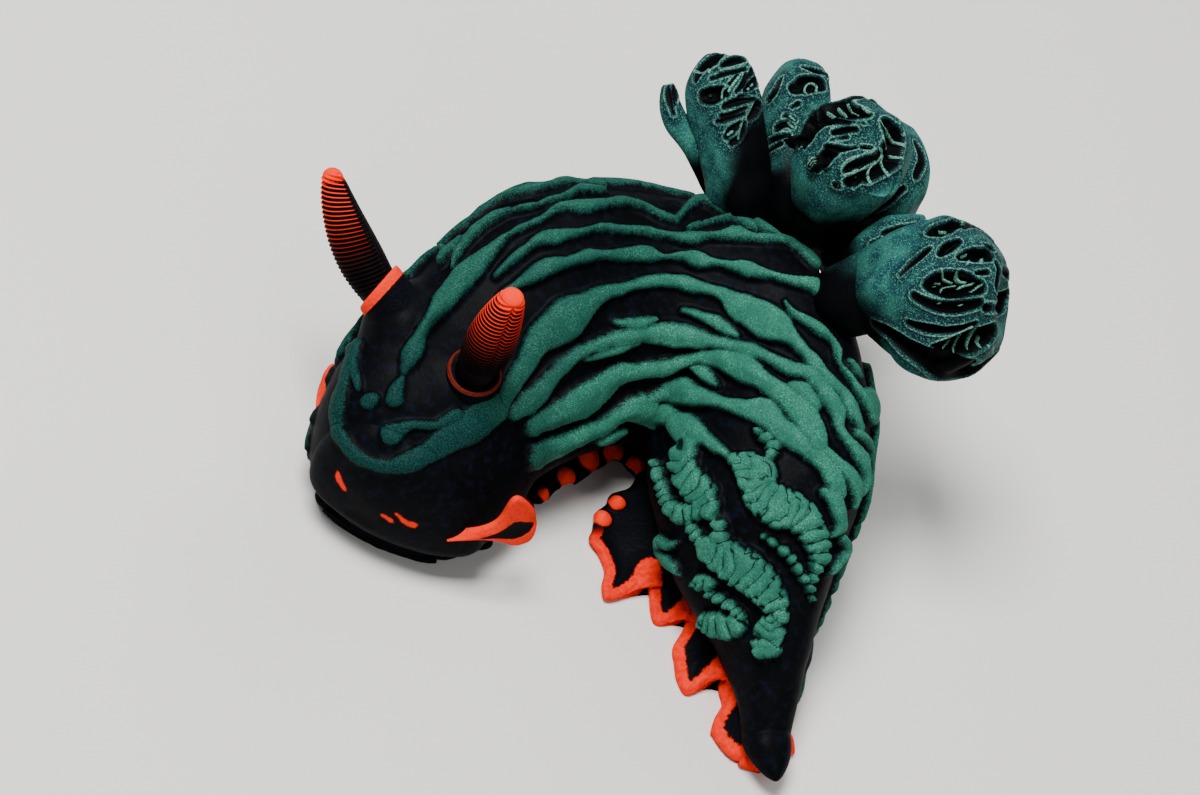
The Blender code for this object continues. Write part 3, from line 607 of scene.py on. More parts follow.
# The pleated columns where the tail's side is squeezed by the bend, traced in the same way.
PLEAT_TRACES = {
    "first_front": ((658, 462, 7), (665, 480, 11), (671, 500, 13), (682, 512, 18), (697, 513, 18),
                    (712, 508, 14)),
    "first_rear": ((688, 452, 26), (684, 466, 26), (692, 481, 28), (704, 495, 30), (712, 508, 22)),
    "second_front": ((694, 524, 12), (699, 536, 14), (708, 547, 14)),
    "second_rear": ((720, 523, 15), (722, 534, 17), (722, 545, 18)),
    "third": ((712, 550, 28), (727, 558, 36), (741, 567, 41), (755, 579, 38), (765, 590, 34), (774, 604, 27),
              (781, 617, 15)),
    "third_end": ((772, 622, 18), (767, 638, 33), (763, 652, 20)),
    "fourth": ((732, 460, 10), (745, 466, 26), (756, 476, 40), (757, 488, 32), (766, 501, 40), (782, 508, 42),
               (797, 514, 37), (808, 526, 32), (815, 540, 26), (818, 556, 20), (814, 570, 12), (808, 590, 7)),
    "fifth": ((760, 535, 6), (780, 546, 10), (792, 559, 11), (799, 572, 10), (808, 588, 9), (811, 600, 6)),
    "hook": ((752, 430, 5), (763, 436, 12), (773, 447, 16), (768, 460, 8)),
    "low_1": ((696, 584, 8), (705, 583, 18), (716, 585, 8)),
    "low_2": ((707, 593, 7), (728, 603, 12), (743, 615, 10)),
    "low_3": ((708, 622, 16), (724, 626, 26), (740, 625, 20)),
}

# The orange marks on the head's lower front: pixel x, pixel y and width.
ORANGE_TRACES = {
    "snout": ((336, 475, 4), (339, 482, 7), (342, 489, 5)),
    "cheek_front": ((384, 516, 3), (392, 523, 5)),
    "cheek_rear": ((397, 516, 3), (406, 521, 5), (415, 527, 7)),
}


@dataclass
class Skin:
    """The one skin over head, body and tail, with its ridges, folds and orange marks.

    A row of crossing is the angle where a line starts, the angle that it has crossed to at the tail, and the
    station where it sets off. A mound carries a rhinophore: its place, its height, and the distances at which it
    stops being level and at which it ends. A row of ragged is how far the crests' edges stray, over what
    distance, and the seed of that noise.
    """

    form: BodyForm
    view: PhotoView
    rows: int = 440
    columns: int = 225
    fine_arc: tuple[float, float] = (-45.0, 150.0)
    fine_share: float = 0.76
    ridge_height: float = 1.15
    pleat_height: float = 1.25
    pleat_pitch: float = 0.95
    pleat_bow: float = 0.22
    pleat_cut: float = 0.4
    pleat_drift: float = 0.6
    ragged: tuple[tuple[float, float, int], ...] = ((0.13, 1.3, 6), (0.05, 0.6, 7))
    head_share: float = 0.55
    # Painted shade: how far the head is darkened, and how far the front half of the body is.
    head_shade: float = 0.5
    front_shade: float = 0.62
    swell: float = 0.22
    pucker: float = 0.06
    hidden_width: float = 0.62
    hidden_starts: tuple[float, ...] = (112, 124, 137, 149, 160, 170, 181, 193, 205)
    crossing: tuple[tuple[float, float, float], ...] = (
        (-44, -44, 6.5), (-31, 4, 6.5), (-5, 45, 6.4), (10, 68, 6.0), (22, 94, 5.3), (32, 110, 5.0),
        (41, 122, 4.95), (57, 140, 4.9), (72, 151, 4.8), (93, 164, 4.6), (130, 182, 4.6), (180, 203, 4.6),
        (220, 222, 4.6), (316, 316, 6.5))
    crossed_at: float = 8.0
    mounds: tuple[tuple[tuple[float, float], float, float, float], ...] = (
        ((1.6, 118.4), 1.3, 1.4, 4.6), ((1.4, 67.0), 0.3, 1.6, 3.6))
    gill_centre: tuple[float, float] = (4.95, 106.0)
    gill_radius: float = 8.5

    def grid(self) -> tuple[Array, Array]:
        """Lay out the grid, with closer columns over the flank and back that carry the ridges.

        Returns:
            Stations as a column and angles as a row.
        """
        share = np.linspace(0, 1, 25)
        snout = -np.cos(share[1:-1] * np.pi / 2)
        tail = self.form.last + np.sin(share[1:-1] * np.pi / 2)
        t = np.concatenate((snout, np.linspace(0, self.form.last, self.rows - len(snout) - len(tail)), tail))
        fine = round(self.columns * self.fine_share)
        low, high = self.fine_arc
        angle = np.concatenate((np.linspace(low, high, fine, endpoint=False),
                                np.linspace(high, low + 360, self.columns - fine, endpoint=False)))
        return t[:, None], angle[None, :]

    def hidden_ridges(self) -> list[Marking]:
        """Draw the ridges of the side that the photograph hides, along the lines that cross to the tail.

        Returns:
            One line per start, as wide as a smooth random walk makes it.
        """
        random = np.random.default_rng(SEED)
        starts, at_tail, climbs = np.array(self.crossing).T
        lines = []
        for start in self.hidden_starts:
            t = np.arange(0.3, 8.6, 0.2)
            climb = np.interp(start, starts, climbs)
            share = np.clip((t - climb) / (self.crossed_at - climb), 0, 1) ** 1.1
            angle = start + (np.interp(start, starts, at_tail) - start) * share
            angle = angle + 3 * np.interp(t, np.arange(0, 10, 0.7), random.uniform(-1, 1, 15))
            width = np.interp(t, np.arange(0, 10, 0.5), random.uniform(-0.15, 0.75, 20))
            lines.append(Marking(self.form.skin(t, angle), np.minimum(width, self.hidden_width)))
        return lines

    def surface(self) -> Surface:
        """Raise the ridges and folds off the smooth skin and carry their values along.

        The skin stands out along its normal by a height times a smooth step of the depth inside a line, plus
        slow swellings and shallow puckers in the valleys.

        Returns:
            The closed skin.
        """
        t, angle = self.grid()
        points = self.form.skin(t, angle)
        normals = self.form.normal(t, angle)
        facing = (normals * unit(self.view.eye - points)).sum(-1)
        ridges, pleats, marks = ([self.view.on_surface(trace, points, facing) for trace in traces.values()]
                                 for traces in (RIDGE_TRACES, PLEAT_TRACES, ORANGE_TRACES))
        seen, along, _ = depth_inside(points, ridges)
        fold, fold_along, fold_half = depth_inside(points, pleats)
        bow = self.pleat_bow * np.maximum(fold_half - fold, 0) ** 2
        phase = (fold_along + bow + self.pleat_drift * grain(points, 1.6, 4)) / self.pleat_pitch
        pleat = np.abs(np.sin(np.pi * phase)) ** 0.55
        fold = fold - self.pleat_cut * (1 - pleat)
        hidden, hidden_along, _ = depth_inside(points, self.hidden_ridges())
        orange, _, _ = depth_inside(points, marks)
        hidden = hidden - 3 * smooth_step(facing, -0.05, 0.2)
        gills = self.form.skin(*self.gill_centre)
        bare = 1 - smooth_step(np.linalg.norm(points - gills, axis=-1), self.gill_radius, self.gill_radius + 3)
        hidden = hidden - 3 * bare
        along = np.where(hidden > seen, hidden_along, along)
        ridge = np.maximum(seen, hidden)
        along = np.where(fold > ridge, fold_along, along)
        for depth, size, seed in self.ragged:
            ridge = ridge + depth * grain(points, size, seed)
        # Painted shade: the head is darkened, and so is the front half, reaching further back over the back and
        # right side than on the left flank.
        head = 1 - smooth_step(np.broadcast_to(t, ridge.shape), 0.6, 1.8)
        turned = np.clip((60 - angle) / 60, -1, 1)
        front = 1 - smooth_step(t + 1.8 * turned, 3.0, 4.6)
        shade = np.clip(self.head_shade * head + self.front_shade * front, 0, 1)
        crest = 0.75 * smooth_step(ridge, -0.26, 0.2) + 0.25 * smooth_step(ridge, 0.0, 1.2)
        ridge_rise = crest * self.ridge_height * (1 - (1 - self.head_share) * head)
        ridge_rise = ridge_rise * (1 + 0.2 * grain(points, 3.0, 5))
        cut = 0.45 - 0.15 * smooth_step(fold, 0.5, 1.4)
        fold_rise = smooth_step(fold, -0.3, 0.35) * self.pleat_height * (1 - cut + cut * pleat)
        ends = smooth_step(np.broadcast_to(t, ridge.shape), -1.0, -0.6)
        rise = np.maximum(ridge_rise, fold_rise) * ends
        rise = rise + self.swell * grain(points, 4.5, 1) + self.pucker * grain(points, 1.4, 2)
        for place, height, inner, outer in self.mounds:
            away = np.linalg.norm(points - self.form.skin(*place), axis=-1)
            rise = rise + height * (1 - smooth_step(away, inner, outer))
        rings = points + normals * rise[..., None]
        return tube(rings, {"ridge": np.maximum(ridge, fold), "along": along, "orange": orange, "shade": shade,
                            "fold": fold, "phase": phase})

    def build(self, material: bpy.types.Material) -> bpy.types.Object:
        """Make the skin in place of the five lengths of flesh."""
        nodes = ("head", "front_body", "middle_body", "rear_body", "tail")
        return self.surface().piece("skin", "skin", material, nodes)


# The foot's left margin, traced along its outer edge from the inner bend to the tail: pixel x, pixel y and
# station.
MARGIN_TRACE = (
    (534, 501, 2.75), (547, 499, 2.95), (559, 485, 3.2), (577, 480, 3.45), (592, 470, 3.75), (608, 460, 4.0),
    (622, 459, 4.3), (628, 468, 4.65), (636, 476, 5.0), (628, 488, 5.35), (612, 492, 5.6), (607, 502, 5.8),
    (595, 512, 6.0), (594, 526, 6.2), (590, 538, 6.35), (600, 552, 6.5), (606, 568, 6.62),
    (603, 584, 6.7), (606, 597, 6.8), (620, 596, 6.9), (636, 587, 7.0), (646, 571, 7.05), (650, 588, 7.15),
    (652, 606, 7.25), (658, 620, 7.35), (672, 620, 7.45), (689, 610, 7.52), (685, 626, 7.62), (675, 644, 7.75),
    (677, 660, 7.85), (679, 676, 7.97), (688, 691, 8.08), (702, 686, 8.18), (728, 665, 8.28), (720, 684, 8.4),
    (724, 700, 8.52), (716, 716, 8.65), (712, 730, 8.8))

# The round orange lobes that show under the flank in the inner bend: pixel x, pixel y and width.
LOBE_PLACES = ((545, 491, 15), (568, 473, 22), (590, 456, 27), (614, 449, 24), (636, 464, 21), (618, 501, 19),
               (604, 516, 21))


@dataclass
class Foot:
    """The flat foot: a black creeping sole with a thin, ruffled orange margin.

    The margin is black in front of the station black_front, and between lobed_from and lobed_to the inner bend
    carries round lobes in place of a band. A row leads to the running mean of the edge over smoothing rows either
    way, and its distance to the edge is measured over edge_rows either way.
    """

    form: BodyForm
    view: PhotoView
    rows: int = 640
    top_columns: int = 84
    sole_columns: int = 24
    thickness: float = 2.5
    edge: float = 0.55
    tip: float = 1.6
    scallop: float = 1.5
    scallops_per_station: float = 1.35
    blend_length: float = 0.5
    edge_level: float = 0.9
    lobe_level: float = 1.4
    lobe_height: float = 1.0
    black_front: float = 1.9
    lobed_from: float = 2.6
    lobed_to: float = 6.2
    smoothing: int = 30
    edge_rows: int = 34

    def lobes(self, t: Array) -> Array:
        """Give the margin's lobes: half circles, with a sharp notch between one and the next."""
        place = (t + 1) * self.scallops_per_station % 1
        return np.sqrt(np.maximum(1 - (2 * place - 1) ** 2, 0))

    def margins(self, t: Array) -> tuple[Array, Array, Array]:
        """Draw the foot's outline: the form's own, and the traced margin where the photograph shows it.

        Args:
            t: Stations.

        Returns:
            The middle line and the left and right edges in plan.
        """
        row, ahead, left = self.form.midline(t)
        snout, tail, size = self.form.ends(t)
        middle = row[:, :2] + ahead * ((snout - tail) * self.tip)[:, None]
        reach = self.scallop * self.lobes(t) * size
        left_edge = middle + left * (row[:, 7] * size + reach)[:, None]
        right_edge = middle - left * (row[:, 8] * size + reach)[:, None]
        path = smooth_path(MARGIN_TRACE, 8)
        trace = self.view.on_level(path[:, :2], self.edge_level)[:, :2]
        traced = np.stack([np.interp(t, path[:, 2], trace[:, axis]) for axis in (0, 1)], -1)
        first, last = path[0, 2], path[-1, 2]
        weight = smooth_step(t, first - self.blend_length, first)
        weight = weight * (1 - smooth_step(t, last, last + self.blend_length))
        left_edge = left_edge + (traced - left_edge) * weight[:, None]
        return middle, left_edge, right_edge

    def surface(self) -> Surface:
        """Join the top and the sole of each cross row into a closed ring.

        The top falls from the flesh to a thin edge along a cosine, and the edge lifts and dips a little from
        lobe to lobe. The sole is flat.

        Returns:
            The closed foot.
        """
        cap = np.linspace(0.12, np.pi / 2, 20)[:-1]
        length = np.linspace(0, self.form.last, self.rows - 2 * len(cap))
        t = np.concatenate((-np.cos(cap), length, self.form.last + np.cos(cap)[::-1]))
        middle, left_edge, right_edge = self.margins(t)
        across = np.sin(np.linspace(-np.pi / 2, np.pi / 2, self.top_columns))
        across = np.sign(across) * np.abs(across) ** 0.8
        top_plan = self.plan(middle, left_edge, right_edge, across)
        to_edge = self.edge_distance(top_plan, left_edge, right_edge)
        lift = 0.35 * grain(np.pad(top_plan, ((0, 0), (0, 0), (0, 1))), 2.6, 11) + 0.3
        lift = np.maximum(lift, 0) * (1 - smooth_step(to_edge, 0.0, 2.2))
        rounding = np.sqrt(np.clip(1 - (1 - np.clip(to_edge / 0.35, 0, 1)) ** 2, 0, 1))
        inward = smooth_step(1 - np.abs(across), 0.0, 0.75)
        height = self.edge * rounding + (self.thickness - self.edge) * inward + lift
        lobe = self.lobe_depth(top_plan)
        height = height + self.lobe_height * np.sqrt(np.clip(lobe, 0, None))
        top = np.concatenate((top_plan, height[..., None]), -1)
        back = np.linspace(1, -1, self.sole_columns + 2)[1:-1]
        sole_plan = self.plan(middle, left_edge, right_edge, back * 0.985)
        sole = np.concatenate((sole_plan, np.zeros(sole_plan.shape[:2] + (1,))), -1)
        rings = np.concatenate((top, sole), 1)
        values = np.concatenate((to_edge, np.zeros(sole_plan.shape[:2])), 1)
        lobe = np.concatenate((lobe, np.full(sole_plan.shape[:2], -1.0)), 1)
        side = np.concatenate((across, back)) > 0
        bend = smooth_step(t, self.lobed_from - 0.2, self.lobed_from)
        bend = bend * (1 - smooth_step(t, self.lobed_to, self.lobed_to + 0.2))
        front = 1 - smooth_step(t, self.black_front - 0.4, self.black_front)
        black = np.maximum(front[:, None], bend[:, None] * side[None])
        return tube(rings, {"margin": values, "black": black, "lobe": lobe})

    def plan(self, middle: Array, left_edge: Array, right_edge: Array, across: Array) -> Array:
        """Spread the cross rows in plan, from the right edge at -1 to the left edge at 1.

        Away from the edge a row leads to the edge's running mean, so that the folds die out inwards.

        Args:
            middle: The middle line.
            left_edge: The left edge.
            right_edge: The right edge.
            across: Where the points of a row lie.

        Returns:
            Plan points by row and place.
        """
        kernel = np.hanning(2 * self.smoothing + 1) / self.smoothing
        shares = np.abs(across)[None, :, None]
        rows = []
        for edge in (left_edge, right_edge):
            held = np.pad(edge, ((self.smoothing, self.smoothing), (0, 0)), "edge")
            mean = np.stack([np.convolve(held[:, axis], kernel, "valid") for axis in (0, 1)], -1)
            row = middle[:, None] + (mean - middle)[:, None] * shares
            rows.append(row + (edge - mean)[:, None] * shares**5)
        return np.where(across[None, :, None] >= 0, *rows)

    def lobe_depth(self, plan: Array) -> Array:
        """Measure how deep each plan point lies inside the nearest round lobe.

        Args:
            plan: Plan points by row and place.

        Returns:
            The depth as a share of the lobe's radius, -1 far from all of them.
        """
        best = np.full(plan.shape[:2], -1.0)
        for x, y, width in LOBE_PLACES:
            centre = self.view.on_level(np.array((x, y)), self.lobe_level)[:2]
            radius = width / 2 * self.view.distance / self.view.focal
            best = np.maximum(best, 1 - np.linalg.norm(plan - centre, axis=-1) / radius)
        return best

    def edge_distance(self, plan: Array, left_edge: Array, right_edge: Array) -> Array:
        """Measure each plan point's distance to the nearest of the edge points of the rows beside its own.

        Args:
            plan: Plan points by row and place.
            left_edge: The left edge.
            right_edge: The right edge.

        Returns:
            The distances.
        """
        best = np.full(plan.shape[:2], 1e9)
        for shift in range(-self.edge_rows, self.edge_rows + 1):
            rows = np.clip(np.arange(len(plan)) + shift, 0, len(plan) - 1)
            for edge in (left_edge, right_edge):
                best = np.minimum(best, np.linalg.norm(plan - edge[rows][:, None], axis=-1))
        return best

    def build(self, material: bpy.types.Material) -> bpy.types.Object:
        """Make the foot in place of its three lengths."""
        return self.surface().piece("foot", "foot", material, ("foot_front", "foot_middle", "foot_rear"))


class Side(Enum):
    """The animal's own left and right."""

    LEFT = "left"
    RIGHT = "right"


def stand(points: Array, root: Array, direction: Array, bow: Array, length: float) -> Array:
    """Stand points made round Z at a root along a direction, and bow them over.

    The axis runs along the direction and is pushed aside by the bow times the square of the height's share of
    the length. Each level turns from Z to the axis there by the shortest turn, which is
    p + a x p + a x (a x p) / (1 + c), with a the cross of Z and the axis and c their cosine.

    Args:
        points: Points round the Z axis.
        root: Where Z = 0 goes.
        direction: Where +Z points at the root.
        bow: How far the top is pushed aside.
        length: The height that the bow is given for.

    Returns:
        The points in place.
    """
    height = points[:, 2:]
    share = np.maximum(height, 0) / length
    start = unit(np.asarray(direction, float))
    to = unit(start + 2 * share / length * np.asarray(bow))
    level = points * (1, 1, 0)
    axis = np.cross((0, 0, 1), to)
    first = np.cross(axis, level)
    turned = level + first + np.cross(axis, first) / (1 + to[:, 2:])
    return root + start * height + np.asarray(bow) * share**2 + turned


@dataclass
class Rhinophore:
    """A rhinophore: a black club with slanting orange plates that meet in chevrons along its keel.

    Its root is a station and an angle on the skin, the lean is its direction there, and the keel is an angle
    round the club in degrees. The collar is the height of the sleeve round its stem.
    """

    form: BodyForm
    side: Side
    root: tuple[float, float]
    lean: tuple[float, float, float]
    collar: float
    keel: float
    bow: tuple[float, float, float] = (0.0, 0.0, 0.0)
    length: float = 13.4
    plates: int = 28
    stem_radius: float = 1.55
    stem_sunk: float = 1.5
    club_start: float = 2.4
    club_radius: float = 1.95
    plate_depth: float = 0.26
    keel_crease: float = 0.22
    chevron: float = 3.2
    collar_radius: float = 2.3
    collar_base: float = 3.0
    collar_wall: float = 0.35
    collar_sunk: float = 1.6
    collar_slant: float = 0.0
    lip_height: float = 0.64

    def club(self) -> Surface:
        """Turn the club's profile and cut its plates.

        The radius is a smooth profile less the plate depth times a narrow groove, repeated along the height
        less a slope times the angle from the keel. The grooves fade out over the smooth back.

        Returns:
            The closed club.
        """
        profile = smooth_path(((self.stem_radius, -self.stem_sunk), (self.stem_radius * 1.05, 1.0),
                               (self.club_radius * 0.92, 3.0), (self.club_radius, 5.2),
                               (self.club_radius * 0.95, 7.4), (self.club_radius * 0.8, 9.6),
                               (self.club_radius * 0.6, 11.6), (self.club_radius * 0.46, 12.5)), 24)
        cap = np.linspace(0, np.pi / 2, 14)[1:-1]
        end = profile[-1]
        tip = np.column_stack((end[0] * np.cos(cap), end[1] + (self.length - end[1]) * np.sin(cap)))
        profile = np.concatenate((profile, tip))
        run = np.concatenate(((0,), np.cumsum(np.linalg.norm(np.diff(profile, axis=0), axis=1))))
        even = np.linspace(0, run[-1], 460)
        radius = np.interp(even, run, profile[:, 0])[:, None]
        height = np.interp(even, run, profile[:, 1])[:, None]
        angle = np.linspace(0, 2 * np.pi, 90, endpoint=False)[None]
        from_keel = np.abs((angle - np.radians(self.keel) + np.pi) % (2 * np.pi) - np.pi) / np.pi
        pitch = (self.length - self.club_start - 0.4) / self.plates
        phase = (height - self.club_start) / pitch + self.chevron * from_keel
        plate = np.clip(0.5 - 0.5 * np.cos(2 * np.pi * phase), 0, 1) ** 0.7
        covered = smooth_step(height, self.club_start - 0.2, self.club_start + 1.0)
        covered = covered * (1 - smooth_step(height, self.length - 0.7, self.length - 0.3))
        covered = covered * (1 - smooth_step(from_keel, 0.76, 0.86))
        crease = self.keel_crease * np.exp(-((from_keel / 0.035) ** 2)) * covered
        around = radius + self.plate_depth * (plate - 0.75) * covered - crease
        rings = np.stack((around * np.cos(angle), around * np.sin(angle), height + 0 * angle), -1)
        share = np.clip(height / self.length, 0, 1) + 0 * angle
        return tube(rings, {"plate": plate * covered, "share": share})

    def sleeve(self) -> Surface:
        """Turn the collar's profile: a foot that flares into the skin, a thin lip and a hollow inside.

        Returns:
            The closed collar.
        """
        inside = self.collar_radius - self.collar_wall
        lip = self.collar_radius - self.collar_wall / 2
        profile = smooth_path(((self.collar_base, -self.collar_sunk), (self.collar_base * 0.82, -0.2),
                               (self.collar_radius * 1.02, self.collar * 0.5),
                               (self.collar_radius, self.collar - 0.15), (lip, self.collar + 0.12),
                               (inside, self.collar - 0.15), (inside, self.collar * 0.3),
                               (self.stem_radius * 0.9, -0.6), (self.stem_radius * 0.5, -1.2)), 12)
        angle = np.linspace(0, 2 * np.pi, 120, endpoint=False)[None]
        radius, height = profile[:, 0, None], profile[:, 1, None]
        wave = 1 + 0.02 * np.sin(3 * angle + 1)
        slant = self.collar_slant * np.cos(angle) + 0.08 * np.sin(2 * angle)
        rings = np.stack((radius * wave * np.cos(angle), radius * wave * np.sin(angle),
                          height + slant * smooth_step(height, -0.3, self.collar)), -1)
        lip_start = self.collar - self.lip_height
        rim = smooth_step(height, lip_start - 0.15, lip_start) + 0 * angle
        return tube(rings, {"rim": rim, "bright": np.full(rim.shape, float(self.side is Side.RIGHT))})

    def build(self, club: bpy.types.Material, sleeve: bpy.types.Material) -> None:
        """Stand the club and its collar on the head.

        Args:
            club: The club's finish.
            sleeve: The collar's finish.
        """
        root = self.form.skin(*map(np.array, self.root))
        side = self.side.value
        for shape, kind, slot, material, nodes in (
                (self.club(), "rhinophore", "rhinophore", club, (f"rhinophore_{side}",)),
                (self.sleeve(), "collar", "skin", sleeve, ())):
            shape.points = stand(shape.points, root, self.lean, self.bow, self.length)
            shape.piece(f"{kind}_{side}_form", slot, material, nodes)


@dataclass
class Tentacle:
    """An oral tentacle: a cupped flap, orange along its rim and black in its hollow.

    Front and rear are stations and angles on the skin, and the rear end stands off by lift. The shape's rows are
    a share of the length and the share of the width there, and the hollow's place and half size are shares too.
    """

    form: BodyForm
    side: Side
    front: tuple[float, float]
    rear: tuple[float, float]
    lift: float
    width: float = 2.6
    shape: tuple[tuple[float, float], ...] = ((0, 0.2), (0.3, 0.36), (0.55, 0.56), (0.75, 0.95), (1, 1.0))
    thickness: float = 0.95
    rim_thickness: float = 0.45
    sunk: float = 0.8
    cup: float = 30.0
    hollow_at: tuple[float, float] = (0.66, 0.1)
    hollow_size: tuple[float, float] = (0.34, 0.52)
    lobe: float = 0.9

    def surface(self) -> Surface:
        """Sweep an arc along the flap: it opens away from the cheek and is thinnest along its rim.

        The upper half swells near the free end, by a bell curve of the way along.

        Returns:
            The closed flap.
        """
        share = np.linspace(0, 1, 70)
        front = self.form.skin(*map(np.array, self.front)) - self.form.normal(*self.front) * self.sunk
        outward = self.form.normal(*self.rear)
        rear = self.form.skin(*map(np.array, self.rear)) + outward * self.lift
        along = unit(rear - front)
        upright = unit(np.cross(along, outward))
        outward = np.cross(upright, along)
        control = smooth_path(self.shape, 12)
        width = self.width * np.interp(share, control[:, 0], control[:, 1])
        width = width * np.sqrt(np.clip(1 - np.clip((share - 0.86) / 0.15, 0, 1) ** 2, 0.02, 1))
        middle = front + (rear - front) * share[:, None] + outward * (0.5 * np.sin(np.pi * share))[:, None]
        across = np.linspace(-1, 1, 48)
        bend = np.radians(self.cup) * across
        bell = np.exp(-(((share[:, None] - 0.8) / 0.15) ** 2))
        swell = 1 + self.lobe * bell * smooth_step(-across, -0.1, 0.6)
        wide = width[:, None] / np.radians(self.cup) * swell
        wave = 0.12 * np.sin(9 * share[:, None] + 2 * across) * np.abs(across) ** 3
        outer = (middle[:, None] + upright * (wide * np.sin(bend))[..., None]
                 + outward * (wide * (1 - np.cos(bend)) + wave)[..., None])
        normal = outward * np.cos(bend)[:, None] - upright * np.sin(bend)[:, None]
        edge = np.maximum(np.abs(across)[None], np.clip((share - 0.7) / 0.3, 0, 1)[:, None] ** 2)
        depth = self.rim_thickness + (self.thickness - self.rim_thickness) * (1 - edge**3)
        inner = outer + normal[None] * depth[..., None]
        middle = (share[:, None] - self.hollow_at[0]) / self.hollow_size[0]
        dark = 1 - np.hypot(middle, (across[None] - self.hollow_at[1]) / self.hollow_size[1])
        return shell(outer, inner, {"dark": (dark * 0, smooth_step(dark, -0.1, 0.3))})

    def build(self, material: bpy.types.Material) -> bpy.types.Object:
        """Make the flap in place of its solid."""
        name = f"oral_tentacle_{self.side.value}"
        return self.surface().piece(name + "_flap", "tentacle", material, (name,))


@dataclass(frozen=True)
class Branch:
    """One stem of a plume: where it runs, how thick it is and the hollows that the photograph shows on it.

    The spine's rows are pixel x, pixel y, millimetres nearer than the plume's root, and radius. The rows of a
    hollow or a rib are pixel x, pixel y and width. The stem is painted black with shade up to a share of its
    length, dark_to, and further on one side by dark_side.
    """

    spine: tuple[tuple[float, float, float, float], ...]
    hollows: tuple[tuple[tuple[float, float, float], ...], ...]
    ribs: tuple[tuple[tuple[float, float, float], ...], ...] = ()
    petals: int = 6
    dark_to: float = 0.4
    dark_side: float = 0.0


